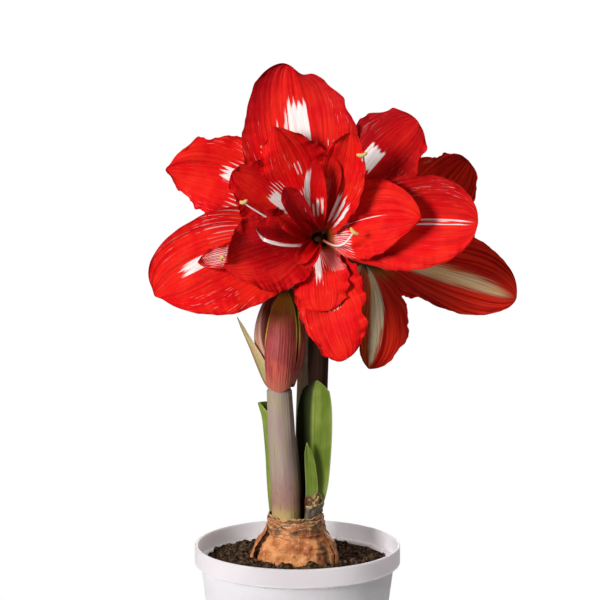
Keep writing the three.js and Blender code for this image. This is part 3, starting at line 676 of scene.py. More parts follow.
def furled_finish():
    """Closed petals: creamy with rosy streaks, brown-red along the seams, and painted shade at the tip."""
    finish = Finish("petal_furled")
    across, length, _ = finish.field("grain")
    seam, _, _ = finish.field("marks")
    cream, rosy, pale = (0.66, 0.38, 0.27), (0.36, 0.075, 0.04), (0.72, 0.58, 0.48)
    rust, brown = (0.20, 0.028, 0.012), (0.07, 0.016, 0.008)
    vein = finish.noise(across * 9, length * 1.6, 0.4, detail=4, roughness=0.6)
    fine = finish.noise(across * 30, length * 6, 0.9, detail=2)
    # painted shade: the tip near black, where the flowers' shadow falls
    tip = finish.step(length + (vein - 0.5) * 0.2, 0.72, 0.86)
    color = finish.coats(
        finish.blend(finish.step(vein, 0.4, 0.64), cream, rosy),
        (finish.step(fine, 0.5, 0.7) * 0.4, pale),
        (finish.step(seam + (vein - 0.5) * 0.3, 0.62, 0.86), rust),
        (tip * 0.95, brown),
    )
    return finish.done(color, 0.45 + 0.2 * vein, vein + 0.3 * fine, 0.25, 0.8)


def bract_finish(settings):
    """Withered papery bract: tan, lengthwise fibres, brown edges."""
    finish = Finish("bract")
    across, length, _ = finish.field("grain")
    x, y, z = finish.place()
    olive, brown = (0.50, 0.44, 0.16), (0.25, 0.10, 0.05)
    fibre = finish.noise(across * 9, length * 2.2, 0.7, detail=4, roughness=0.65)
    cloud = finish.noise(x / 9, y / 9, z / 12, detail=3)
    edge = finish.step(across + (fibre - 0.5) * 0.2, 0.6, 0.95)
    color = finish.coats(
        finish.blend(finish.step(cloud, 0.35, 0.65), settings.bract, olive),
        (finish.step(fibre, 0.52, 0.7) * 0.6, darker(settings.bract, 0.5)),
        (edge * 0.6, brown),
    )
    return finish.done(color, 0.62 + 0.2 * fibre, fibre + cloud * 0.4, 0.3, 0.8)


def petal_finish(settings):
    """Velvety red petal: fanned darker veins, white patches and feathers, green throat, with painted glints,
    painted shade at the foot and painted light on some backs.
    """
    finish = Finish("petal_velvet")
    across, length, back = finish.field("grain")
    patch, feather, dash = finish.field("white")
    tone, seed, stripe = finish.field("shade")
    x, y, z = finish.place()
    vein = across / (length * 0.9 + 0.35)
    veins = finish.noise(vein * 15, length * 1.4, seed, detail=3, roughness=0.6)
    threads = finish.noise(vein * 42, length * 4, seed + 3, detail=2)
    glint = finish.noise(vein * 46, length * 11, seed + 7, detail=2)
    cloud = finish.noise(x / 16, y / 16, z / 16, detail=3)
    wobble = finish.noise(vein * 3, length * 3, seed + 11)
    comb = finish.node("ShaderNodeMath", {"operation": "SINE"}, (vein * (TURN * 9) + wobble * 9,)) * 0.5 + 0.5
    deep, shine, pink = settings.petal_deep, (0.86, 0.17, 0.14), (0.80, 0.53, 0.50)
    wine, scarlet, orange = (0.36, 0.004, 0.004), (0.70, 0.026, 0.008), (0.86, 0.16, 0.03)
    straw, cream = (0.62, 0.54, 0.34), (0.90, 0.84, 0.60)
    amber, shadow = (0.66, 0.30, 0.06), (0.03, 0.014, 0.006)

    edge = finish.step(abs(across) + (threads - 0.5) * 0.2, 0.9, 1.0)
    # painted glints: rosy sparkles on the blade
    rosy = finish.step(glint, 0.6, 0.74) * finish.step(length, 0.15, 0.4) * 0.18

    body = finish.step(patch + (comb - 0.5) * 0.25 + (threads - 0.5) * 0.8, 0.02, 0.24)
    plume = finish.step(comb + feather * 1.1 + (threads - 0.5) * 1.6, 1.05, 1.3)
    plume = plume * finish.step(feather, 0, 0.2)
    flecks = finish.step(glint + dash * 0.1, 0.68, 0.78) * finish.step(dash, 0, 0.4)
    white = (1 - back) * (body | plume * 0.8 | flecks * 0.22)
    pale = finish.blend(finish.step(threads, 0.4, 0.68) * 0.6, settings.petal_white, pink)

    reverse = finish.blend(finish.step(veins, 0.4, 0.64), wine, scarlet)
    # painted light: on a back with stripe 2, an orange sunlit side
    painted_sunlight = finish.step(stripe, 1, 2) * finish.step(across, -0.3, 0.1)
    reverse = finish.blend(painted_sunlight * finish.step(veins, 0.3, 0.7) * 0.9, reverse, orange)
    rib = 1 - finish.step(abs(across + 0.05) + (veins - 0.5) * 0.3 + (threads - 0.5) * 0.25, 0.06, 0.27)
    rib = rib * (1 - finish.step(length, 0.86, 1.0)) * stripe
    # painted light: a back with stripe 2 gets a cream rib, a lit copy of the straw one
    ribbing = finish.blend(stripe - 1, straw, cream)
    ribbing = finish.blend(finish.step(threads, 0.4, 0.62) * 0.8, ribbing, amber)
    reverse = finish.blend(rib * 0.9, reverse, ribbing)

    throat = 1 - finish.step(length + (comb - 0.5) * 0.1, 0.09, 0.22)
    # painted shade: near black at the petal's foot, deep in the flower
    hollow = 1 - finish.step(length + (veins - 0.5) * 0.1, 0.04, 0.18)
    color = finish.coats(
        finish.blend(finish.step(cloud, 0.34, 0.68), settings.petal, settings.petal_warm),
        (finish.step(comb + (threads - 0.5) * 2, 0.62, 1.0) * 0.14, deep),
        (finish.step(veins, 0.48, 0.7) * 0.32, deep),
        (finish.step(threads, 0.52, 0.7) * 0.24, deep),
        # tone: partly the petal's own crimson, partly painted shade on petals that stand in shade
        (finish.step(tone + (veins - 0.5) * 0.6, 0.1, 0.9) * 0.9, deep),
        (edge * 0.5, deep),
        (rosy, shine),
        (white, pale),
        (back, reverse),
        (throat * 0.55, settings.throat),
        (hollow, shadow),
    )
    roughness = 0.4 + 0.2 * veins + 0.08 * glint
    relief = veins + threads * 0.5 + comb * 0.35 + glint * 0.1
    return finish.done(color, roughness, relief, 0.4, 0.85, 0.05)


def stamen_finish(settings):
    """White filament, red at its foot, with a grainy pale yellow anther."""
    finish = Finish("stamen")
    _, _, length = finish.field("grain")
    x, y, z = finish.place()
    grain = finish.noise(x * 2.2, y * 2.2, z * 2.2, detail=3)
    red = (0.62, 0.12, 0.10)
    thread = finish.blend(finish.step(length, 0.06, 0.4), red, settings.petal_white)
    dust = finish.blend(grain, settings.pollen, darker(settings.pollen, 0.6))
    anther = finish.step(length, 0.8, 0.9)
    color = finish.blend(anther, thread, dust)
    return finish.done(color, 0.4 + 0.5 * anther, grain * anther, 0.4, 0.8)


def floor_finish(settings):
    finish = Finish("stage_floor")
    x, y, _ = finish.place()
    haze = finish.noise(x / 60, y / 60, 0)
    color = finish.blend(haze, settings.floor, darker(settings.floor, 0.97))
    return finish.done(color, 0.7 + 0.1 * haze, haze, 0.05, 0.1)


# ------------------------------------------------------------------ pot and peat

def pot_inside(z):
    """Inner radius of the pot's body at a height."""
    return mix(BASE_RADIUS, RIM_RADIUS - RIM_STEP, z / (POT_HEIGHT - RIM_BAND)) - POT_WALL


def pot_skin():
    band = POT_HEIGHT - RIM_BAND
    lip = RIM_RADIUS - POT_WALL / 2
    ledge = band + 0.9
    profile = [(2, 0), (30, 0), (BASE_RADIUS - 3, 0)]
    profile += arc((BASE_RADIUS - 1.4, 1.4), 1.4, -90, -8)
    for t in np.linspace(0.02, 1, 24):
        profile.append((mix(BASE_RADIUS, RIM_RADIUS - RIM_STEP, t), mix(1.6, band - 0.7, t)))
    profile += arc((RIM_RADIUS - RIM_STEP + 0.5, band - 0.5), 0.5, 180, 90, 4)
    profile += arc((RIM_RADIUS - 0.9, band + 0.9), 0.9, -90, 0)
    profile += [(RIM_RADIUS, z) for z in np.linspace(band + 2, POT_HEIGHT - 1.4, 6)]
    profile += arc((lip, POT_HEIGHT - POT_WALL / 2), POT_WALL / 2, 0, 180, 9)
    profile += [(RIM_RADIUS - POT_WALL, z) for z in np.linspace(POT_HEIGHT - 2, ledge + 1, 6)]
    profile += arc((RIM_RADIUS - POT_WALL - 0.6, ledge + 0.6), 0.6, 0, -90, 4)
    profile += [(pot_inside(z), z) for z in np.linspace(ledge - 0.4, POT_FLOOR + 1, 20)]
    profile += [(pot_inside(POT_FLOOR) - 2, POT_FLOOR), (30, POT_FLOOR), (2, POT_FLOOR)]
    return lathe(profile, 160)


def drill(piece, radius, circle, count):
    """Cuts a ring of drain holes through the pot's floor."""
    profile = [(radius * 0.5, -3), (radius, -3), (radius, POT_FLOOR + 3), (radius * 0.5, POT_FLOOR + 3)]
    skins = []
    for i in range(count):
        bore = lathe(profile, 24)
        angle = TURN * i / count
        bore.points = bore.points + np.array([circle * math.cos(angle), circle * math.sin(angle), 0])
        skins.append(bore)
    cutter = link("drain_holes", make_mesh("drain_holes", skins))
    cut = piece.modifiers.new("drain", "BOOLEAN")
    cut.operation = "DIFFERENCE"
    cut.object = cutter
    applied(piece)
    bpy.data.objects.remove(cutter)


def soil_top(x, y):
    """Height of the lumpy peat, heaped a little at the left."""
    lumps = np.sin(x * 0.31 + 1.1) * np.cos(y * 0.27 - 0.4) + 0.5 * np.cos(x * 0.47 + y * 0.41)
    lumps = lumps + 0.6 * np.sin(x * 0.13 - y * 0.19 + 2)
    return SOIL_LEVEL - 0.022 * x + 1.02 * lumps


def bulb_section(z, extra=0.0):
    """Centre y and half axes of the bulb's level section, grown by extra."""
    radius = along(BULB_PROFILE, z) + extra
    neck = eased(z, 112, NECK_TOP)
    return BULB_CENTRE[1] + 2 * neck, radius, radius * mix(1, 1.33, neck)


def soil_skin():
    """The whole filling: wall, floor, lumpy top and the socket that the bulb sits in."""
    angle = np.arange(144) * TURN / 144
    wall_top = POT_HEIGHT - RIM_BAND - 0.6
    outer = [(pot_inside(SOIL_FOOT) * 0.5, SOIL_FOOT)]
    outer += [(pot_inside(z) - CLEARANCE, z) for z in np.linspace(SOIL_FOOT, wall_top, 16)]
    rings = [stack(radius * np.cos(angle), radius * np.sin(angle), z) for radius, z in outer]
    edge = rings[-1][:, :2]
    centre_y, half_x, half_y = bulb_section(SOIL_LEVEL, CLEARANCE)
    mouth = np.stack([BULB_CENTRE[0] + half_x * np.cos(angle), centre_y + half_y * np.sin(angle)], axis=1)
    for share in np.linspace(0.015, 1, 44):
        flat = mix(edge, mouth, share)
        crumbs = waves(5, flat[:, 0] / 5, flat[:, 1] / 5, count=9) * 0.7
        heap = 3.4 * np.exp(-(((flat[:, 0] + 44) / 14) ** 2 + ((flat[:, 1] - 14) / 26) ** 2))
        reach = np.hypot(flat[:, 0] - BULB_CENTRE[0], flat[:, 1]) - 35
        heap = heap + 5.2 * np.exp(-((reach / 7) ** 2)) * eased(-flat[:, 1] / 35, 0.1, 0.9)
        heap = heap + 2.5 * np.exp(-((reach / 9) ** 2)) * eased(-flat[:, 0] / 35, 0.4, 0.9)
        settled = min(1.0, share * 9) * min(1.0, (1.0 - share) * 12 + 0.6)
        height = soil_top(*flat.T) + (crumbs + heap) * settled
        rings.append(np.column_stack([flat, mix(wall_top, height, min(1.0, share * 30))]))
    for z in np.linspace(SOIL_LEVEL - 3, BULB_FOOT, 14):
        centre_y, half_x, half_y = bulb_section(z, CLEARANCE)
        rings.append(stack(BULB_CENTRE[0] + half_x * np.cos(angle), centre_y + half_y * np.sin(angle), z))
    rings = np.array(rings)
    top = np.zeros(rings.shape[:2])
    top[len(outer) + 1 : len(outer) + 43] = 1
    return ring_skin(rings, {"top": stack(top, top, top)})


def add_group_input(tree, name, kind, default=None):
    socket = tree.interface.new_socket(name, in_out="INPUT", socket_type=kind)
    if default is not None:
        socket.default_value = default
    return socket.identifier


def crumb_tree():
    """Geometry Nodes that strew crumbs and fibres over the peat's top."""
    tree = bpy.data.node_groups.new("peat_crumbs", "GeometryNodeTree")
    names = {"Geometry": add_group_input(tree, "Geometry", "NodeSocketGeometry")}
    sizes = {"Crumb Density": 1.0, "Crumb Size": 0.001, "Fibre Density": 1.0, "Fibre Length": 0.006}
    for name, default in sizes.items():
        names[name] = add_group_input(tree, name, "NodeSocketFloat", default)
    names["Seed"] = add_group_input(tree, "Seed", "NodeSocketInt", 1)
    names["Material"] = add_group_input(tree, "Material", "NodeSocketMaterial")
    tree.interface.new_socket("Geometry", in_out="OUTPUT", socket_type="NodeSocketGeometry")
    graph = Graph(tree)

    def given(name):
        """What the modifier gives for an input."""
        return graph.node("NodeGroupInput", output=name)

    def scaled(vector, scale):
        return graph.node("ShaderNodeVectorMath", {"operation": "SCALE"}, {0: vector, "Scale": scale})

    def random_vector(low, high, seed):
        inputs = {"Min": low, "Max": high, "Seed": seed}
        return graph.node("FunctionNodeRandomValue", {"data_type": "FLOAT_VECTOR"}, inputs)

    def scatter(density, low, high, shape):
        """Copies of a shape on the peat's top, each turned, squashed and scaled."""
        settings = {"data_type": "FLOAT_VECTOR"}
        field = graph.node("GeometryNodeInputNamedAttribute", settings, {"Name": "top"}, "Attribute")
        on_top = graph.node("ShaderNodeSeparateXYZ", inputs=(field,), output="X")
        sown = {"Mesh": given("Geometry"), "Density": on_top * given(density), "Seed": given("Seed")}
        points = graph.node("GeometryNodeDistributePointsOnFaces", inputs=sown, output="Points")
        size = graph.node("FunctionNodeRandomValue", inputs={2: low, 3: high, "Seed": 3}, output=1)
        copies = {
            "Points": points,
            "Instance": shape,
            "Rotation": random_vector((0, 0, 0), (TURN, TURN, TURN), 1),
            "Scale": scaled(random_vector((0.6, 0.6, 0.5), (1.2, 1.2, 1.0), 2), size),
        }
        return graph.node("GeometryNodeInstanceOnPoints", inputs=copies)

    ball = {"Subdivisions": 2, "Radius": given("Crumb Size")}
    crumb = graph.node("GeometryNodeMeshIcoSphere", inputs=ball, output="Mesh")
    bend = {"Start": (-0.5, 0, 0), "Middle": (0, 0.35, 0.1), "End": (0.5, 0, 0)}
    bend = {name: scaled(place, given("Fibre Length")) for name, place in bend.items()}
    strand = graph.node("GeometryNodeCurveQuadraticBezier", inputs={"Resolution": 5, **bend})
    ring = {"Resolution": 4, "Radius": FIBRE_RADIUS * MM}
    ring = graph.node("GeometryNodeCurvePrimitiveCircle", inputs=ring)
    solid_strand = {"Curve": strand, "Profile Curve": ring, "Fill Caps": True}
    fibre = graph.node("GeometryNodeCurveToMesh", inputs=solid_strand)
    strewn = [scatter("Fibre Density", 0.5, 1.6, fibre), scatter("Crumb Density", 0.35, 2.0, crumb)]
    strewn = graph.node("GeometryNodeJoinGeometry", inputs=(strewn,))
    strewn = graph.node("GeometryNodeRealizeInstances", inputs=(strewn,))
    noise = graph.node("ShaderNodeTexNoise", inputs={"Scale": 1 / (CRUMB_GRAIN * MM)}, output="Color")
    aside = graph.node("ShaderNodeVectorMath", {"operation": "SUBTRACT"}, (noise, (0.5, 0.5, 0.5)))
    moved = {"Geometry": strewn, "Offset": scaled(aside, CRUMB_UNEVENNESS * MM)}
    strewn = graph.node("GeometryNodeSetPosition", inputs=moved)
    whole = graph.node("GeometryNodeJoinGeometry", inputs=([given("Geometry"), strewn],))
    painted = {"Geometry": whole, "Material": given("Material")}
    graph.end("NodeGroupOutput", graph.node("GeometryNodeSetMaterial", inputs=painted))
    return tree, names


def strew_crumbs(piece, settings, material):
    tree, names = crumb_tree()
    crumbs = piece.modifiers.new("crumbs", "NODES")
    crumbs.node_group = tree
    values = {
        "Crumb Density": settings.crumb_density,
        "Crumb Size": settings.crumb_size,
        "Fibre Density": settings.fibre_density,
        "Fibre Length": settings.fibre_length,
        "Seed": settings.crumb_seed,
        "Material": material,
    }
    for name, value in values.items():
        crumbs[names[name]] = value
    applied(piece)


# ------------------------------------------------------------------ bulb

def peel_angle(z):
    """Where the split in the bulb's coat runs at the left, in degrees."""
    return along([(112, 198), (130, 204), (146, 203)], z)


def bulb_relief(cos, sin, z):
    """Soft lumps, lengthwise ribs and the neck's wrinkles."""
    lumps = 1.2 * waves(3, 1.3 * cos, 1.3 * sin, z / 30) + 0.65 * waves(4, 3 * cos, 3 * sin, z / 12)
    ribs = 0.07 * waves(8, 16 * cos, 16 * sin, z / 60, count=7)
    ribs = ribs + 0.12 * waves(9, 12 * cos, 12 * sin, z / 4, count=7)
    swell = (lumps + ribs) * eased(z, 76, 90) * (1 - 0.75 * eased(z, 130, NECK_TOP))
    return swell + eased(z, 120, 130) * 0.35 * waves(10, 2 * cos, 2 * sin, z / 2.6, count=6)


def bulb_skin():
    """Body and neck, with the torn edges of its coats, and the throat inside the neck."""
    sides = 240
    angle = np.arange(sides) * TURN / sides
    degrees = np.degrees(angle)
    levels = ((BULB_FOOT, 110, 20), (110.6, 132, 56), (132.4, NECK_TOP, 40))
    heights = np.concatenate([np.linspace(*level) for level in levels])
    z = np.repeat(heights[:, None], sides, axis=1)
    cos, sin = np.cos(angle), np.sin(angle)
    split = np.exp(-(((degrees - peel_angle(z)) / 3.6) ** 4)) * eased(z, 112, 117) * (1 - eased(z, 145, 147))
    right = np.exp(-(((degrees - 320) / 8) ** 2)) * eased(z, 113, 117) * (1 - eased(z, 128, 136))
    swell = bulb_relief(cos, sin, z) - 1.8 * split - 0.9 * right
    pale = 0.45 * eased(z, 130, 140)
    rise = np.where(z > 146, (z - 146) / 1.5 * 0.7 * waves(41, 5 * cos, 5 * sin), 0)
    centre_y, half_x, half_y = bulb_section(z, swell)
    rings = stack(BULB_CENTRE[0] + half_x * cos, centre_y + half_y * sin, z + rise)
    top = rings[-1]
    middle = np.array([BULB_CENTRE[0], 2, 0])
    inner = [mix(top, middle + [0, 0, NECK_TOP], share) for share in (0.02, 0.045)]
    mouth = inner[-1][:, :2]
    inner += [np.column_stack([mouth, np.full(sides, z)]) for z in np.linspace(145, THROAT_FLOOR, 5)]
    inner += [mix(inner[-1], middle + [0, 0, THROAT_FLOOR], share) for share in (0.4, 0.9)]
    rings = np.concatenate([rings, np.array(inner)])
    count = len(inner)
    # the first mark is painted shade: along the coat's split and inside the throat
    marks = stack(split * 1.1, right, pale)
    deep = np.broadcast_to(np.array([0.9, 0, 0]), (count, sides, 3)).copy()
    deep[:2] = (0, 0, 1)
    fields = {"grain": np.zeros((len(rings), sides, 3)), "marks": np.concatenate([marks, deep])}
    return ring_skin(rings, fields)


def tunic_flap(angle, span, bottom, top, lift, ragged, free_edge, seed):
    """Papery flap that has come away from the bulb at its top or at one side."""
    t = np.linspace(0, 1, 44)[:, None]
    s = np.linspace(-1, 1, 30)[None]
    tears = ragged * (waves(seed, 0.9 * s) + 0.6 * waves(seed + 1, 4 * s))
    z = mix(bottom + 0.6 * waves(seed + 2, 2 * s), top + tears, t)
    towards = (1 + free_edge * s) / 2 if free_edge else 1
    profile = np.sin(math.pi * (0.35 + 0.65 * t)) ** 0.7 if free_edge else t * t
    away = lift * towards ** 1.5 * profile
    away = away + 0.22 * waves(seed + 3, 1.2 * s, 1.5 * t) * t
    turn = np.radians(angle + s * span * (1 - 0.25 * t))
    centre_y, half_x, half_y = bulb_section(z, 0.4 + away + bulb_relief(np.cos(turn), np.sin(turn), z))
    rows = stack(BULB_CENTRE[0] + half_x * np.cos(turn), centre_y + half_y * np.sin(turn), z)
    pale = 0.9 * np.exp(-(((1 - t) / 0.05) ** 2))
    thick = 0.4 - 0.18 * np.maximum(t, np.abs(s)) ** 3
    return turned_sheet(rows, thick, {"grain": stack(s, t, 0), "marks": stack(0, 0, pale)})


FLAPS = [
    # angle, span, bottom, top, lift, raggedness, side that stands free
    (189, 17, 111.5, 147, 2.6, 0.8, 1),
    (346, 12, 112, 141, 0.9, 1.2, -1),
    (88, 22, 118, 148, 2.2, 1.6, 0),
    (28, 24, 120, 146.5, 1.2, 1.2, 0),
    (130, 18, 124, 149.5, 1.4, 1.0, 0),
]


def collar(foot, top, stand_off, flare, ragged, seed):
    """Torn ring of a dry coat, split at the rear."""
    t = np.linspace(0, 1, 22)[:, None]
    s = np.linspace(-1, 1, 300)[None]
    turn = np.radians(274 + 177 * s)
    cos, sin = np.cos(turn), np.sin(turn)
    tears = 1.3 * waves(seed, 1.2 * cos, 1.2 * sin) + 0.4 * waves(seed + 1, 5 * cos, 5 * sin, count=4)
    tears = tears + 0.3 * waves(seed + 2, 26 * cos, 26 * sin, count=6)
    z = mix(foot, top + ragged * tears, t)
    flared = flare * t * t * (0.6 + 0.5 * waves(seed + 3, 2.4 * cos, 2.4 * sin))
    away = stand_off * eased(t, 0, 0.6) - 0.3 + flared + 0.12 * waves(seed + 4, 9 * cos, 9 * sin, 2 * t) * t
    centre_y, half_x, half_y = bulb_section(z, away + bulb_relief(cos, sin, z))
    rows = stack(BULB_CENTRE[0] + half_x * cos, centre_y + half_y * sin, z)
    hem = 1.1 + 0.6 * waves(seed + 5, 14 * cos, 14 * sin)
    thick = mix(0.4, 0.3, t) + 0.5 * eased(t, 0.88, 1) * hem
    pale = 0.3 + 0.7 * eased(t, 0.84, 0.97)
    dull = (0.62 + 0.3 * waves(seed + 6, 2 * cos, 2 * sin)) * (1 - eased(t, 0.7, 0.9))
    return turned_sheet(rows, thick, {"grain": stack(s, t, 0), "marks": stack(0, dull, pale)})


def roots():
    """Fleshy roots that run from under the bulb into the peat."""
    skins = []
    for i in range(ROOTS):
        angle = TURN * (i + 0.3 * math.sin(i * 2.1)) / ROOTS
        out = np.array([math.cos(angle), math.sin(angle), 0])
        reach = ROOT_LENGTH * (0.5 + 0.16 * math.sin(i * 1.7))
        start = np.array([*BULB_CENTRE, 78]) + out * 7
        bend = start + out * reach * 0.7 - [0, 0, ROOT_LENGTH * 0.35]
        tip = bend + out * reach * 0.25 - [0, 0, ROOT_LENGTH * (0.5 - 0.08 * math.sin(i * 2.9))]
        path = bezier([start, mix(start, bend, 0.67), mix(tip, bend, 0.67), tip], 24)
        t = np.linspace(0, 1, 24)
        root = tube(path, ROOT_RADIUS * (1 - 0.55 * t) * np.clip((1 - t) * 9, 0.2, 1), 12)
        root.fields = {"grain": root.fields["grain"] * [1, 1, 0], "marks": np.full_like(root.points, 0.0)}
        skins.append(root)
    return skins


def bulb_skins():
    skins = [bulb_skin(), *roots()]
    for i, (angle, span, bottom, top, lift, ragged, free_edge) in enumerate(FLAPS):
        skins.append(tunic_flap(angle, span, bottom, top, lift, ragged, free_edge, 50 + 7 * i))
    for i, sizes in enumerate(COLLARS):
        skins.append(collar(*sizes, 200 + 9 * i))
    return skins


# ------------------------------------------------------------------ stalks and leaves

def stalk_skin(sections, seed):
    """Flower stalk with shallow grooves, through its level sections."""
    heights = np.linspace(sections[0][0], sections[-1][0], STALK_ROWS)
    x, y, radius = [along([(s[0], s[k]) for s in sections], heights) for k in (1, 2, 3)]
    angle = (np.arange(STALK_SIDES) * TURN / STALK_SIDES)[None]
    z = heights[:, None]
    grooves = 0.10 * waves(seed, 7 * np.cos(angle), 7 * np.sin(angle), z / 150, count=7)
    bends = 0.18 * waves(seed + 1, np.cos(angle), np.sin(angle), z / 40)
    end = 0.5 * eased(z, heights[-1] - 1.2, heights[-1])
    reach = radius[:, None] + grooves + bends - end
    rings = stack(x[:, None] + reach * np.cos(angle), y[:, None] + reach * STALK_DEPTH * np.sin(angle), z)
    t = np.linspace(0, 1, STALK_ROWS)[:, None]
    return ring_skin(rings, {"grain": stack(np.cos(angle), np.sin(angle), t)})


@dataclass
class Blade:
    """A leaf, bract or withered valve along a path, with its channel open to one side.

    widths and thickness are (place along, value) pairs. channel is how hollow it is,
    fold how far it bends at its crease, ruffle how uneven it is, and curl how far the
    corners of its tip rise. A blade folded back is painted with shadow past its crease.
    """

    path: list
    facing: tuple
    widths: list
    channel: float
    thickness: list
    seed: int
    fold: float = 0.0
    crease: float = 0.0
    ruffle: float = 0.3
    curl: float = 0.0

    def skin(self):
        t = np.linspace(0, 1, BLADE_ROWS)
        centre = path_through(self.path, BLADE_ROWS)
        ahead = unit(np.gradient(centre, axis=0))
        facing = unit(np.array(self.facing, float))
        inner = unit(facing - ahead * (ahead @ facing)[:, None])
        side = np.cross(inner, ahead)
        s = np.linspace(-1, 1, BLADE_COLUMNS)[None]
        half = along(self.widths, t) / 2
        half = half * np.sqrt(np.clip((1 - t) * 10, 0.02, 1))
        half = half[:, None] * (1 + 0.03 * waves(self.seed + 5, 2.5 * t[:, None], 0.3 * s))
        uneven = self.ruffle * waves(self.seed, 0.7 * s, 2.2 * t[:, None]) * np.minimum(1, 6 * t[:, None])
        veins = 0.09 * np.sin(TURN * 5.5 * s) * (1 - s ** 4)
        keel = -0.1 * np.exp(-((s / 0.12) ** 2))
        past = s - self.crease * eased(t[:, None], 0, 0.3)
        angled = np.sqrt(np.maximum(past, 0) ** 2 + 0.002) - math.sqrt(0.002)
        rise = half * (self.channel * s * s + self.fold * angled) + uneven + veins + keel
        rise = rise + self.curl * t[:, None] ** 4 * np.abs(s) ** 3
        bend = np.maximum(self.channel * 1.2, 1e-3)
        across = half * (np.sin(bend * s) / bend if self.channel > 0.6 else s)
        rows = centre[:, None] + side[:, None] * across[..., None] + inner[:, None] * rise[..., None]
        middle = np.interp(t, *zip(*self.thickness))[:, None]
        thick = mix(middle, np.minimum(0.35, middle), np.abs(s) ** 2.2)
        # painted shadow past the crease, for a blade folded back
        shaded = 0.95 * eased(past, -0.13, -0.02) * (self.fold < 0)
        fields = {"grain": stack(s, t[:, None], 0), "marks": stack(shaded, 0, 0)}
        return sheet(rows, thick, fields)


LEAVES = {
    "leaf_left": Blade(
        path=[
            (-17, 8.6, 136.9), (-19.3, 8.4, 152), (-21.4, 8.2, 175), (-22.8, 8, 200), (-24.6, 7, 220),
            (-28.2, 4.6, 231),
        ],
        facing=(0.97, -0.26, 0),
        widths=[(0, 15), (0.3, 18), (0.7, 20), (0.88, 18), (1, 13)],
        channel=0.8,
        thickness=[(0, 2.2), (0.8, 1.8), (1, 1.2)],
        curl=1,
        seed=61,
    ),
    "leaf_right_tall": Blade(
        path=[
            (8.3, -2.8, 136.9), (9.5, -2.8, 148), (12.5, -2.8, 170), (12.6, -2.6, 205),
            (13, -2.2, 232), (13.6, -2, 248.5),
        ],
        facing=(0, -1, 0),
        widths=[
            (0, 10), (0.12, 10.6), (0.27, 13.8), (0.45, 21), (0.62, 25.6), (0.76, 24.5), (0.88, 20), (1, 15),
        ],
        channel=0.1,
        fold=-1.0,
        crease=0.3,
        thickness=[(0, 2.6), (0.8, 1.8), (1, 1.1)],
        seed=62,
    ),
    "leaf_right_short": Blade(
        path=[(7.6, -7, 136.9), (10.4, -7, 164), (9.4, -9, 186), (6.9, -10.5, 204.4)],
        facing=(0, -1, 0),
        widths=[(0, 6), (0.4, 8.8), (0.75, 7), (0.95, 3.4), (1, 2)],
        channel=0.25,
        thickness=[(0, 1.5), (0.8, 1.4), (1, 1)],
        seed=63,
    ),
}


def stub_layer(low, high, out, half, lean, seed, dry):
    """One coat of the cut leaf base, with a ragged top."""
    t = np.linspace(0, 1, 60)[:, None]
    s = np.linspace(-1, 1, 44)[None]
    flare = eased(t, 0.35, 1)
    reach = mix(4.9, half, flare)
    outward, side = np.array([0.7, -0.71, 0]), np.array([0.71, 0.7, 0])
    tears = 1.6 * waves(seed, 0.9 * s) + 0.5 * waves(seed + 1, 2.2 * s, count=4)
    tears = tears + 0.2 * waves(seed + 4, 12 * s)
    z = mix(low, high + tears, t)
    bulge = out + 0.6 + lean * flare - 0.16 * reach * s * s + 0.35 * waves(seed + 2, 1.5 * s, 1.2 * t) * flare
    bulge = bulge + 1.2 * eased(t, 0.85, 1) * waves(seed + 3, 2.2 * s)
    centre = stack(mix(10.4, 13.4, flare), mix(-11.8, -14.2, flare), 0)
    rows = centre + side * (reach * s)[..., None] + outward * bulge[..., None]
    rows = np.concatenate([rows[..., :2], np.broadcast_to(z[..., None], (*bulge.shape, 1))], axis=2)
    thick = mix(1.2, 1.6, t) * (1 - 0.55 * np.abs(s) ** 3) * (1 - 0.6 * eased(t, 0.9, 1))
    marks = stack(mix(dry[0], dry[1], eased(t, 0.35, 0.95)), 0, 0)
    return sheet(rows, thick, {"grain": stack(s, t, 0), "marks": marks})


def stub_skins():
    return [
        stub_layer(136.3, 159.8, 0.2, 9.2, 0.6, 71, (0, 0.45)),
        stub_layer(136.3, 167.0, -1.7, 8.4, -0.2, 75, (0.3, 1.3)),
        stub_layer(136.3, 163.6, -0.7, 8.0, 0.6, 79, (0.2, 1.1)),
    ]


# ------------------------------------------------------------------ bud

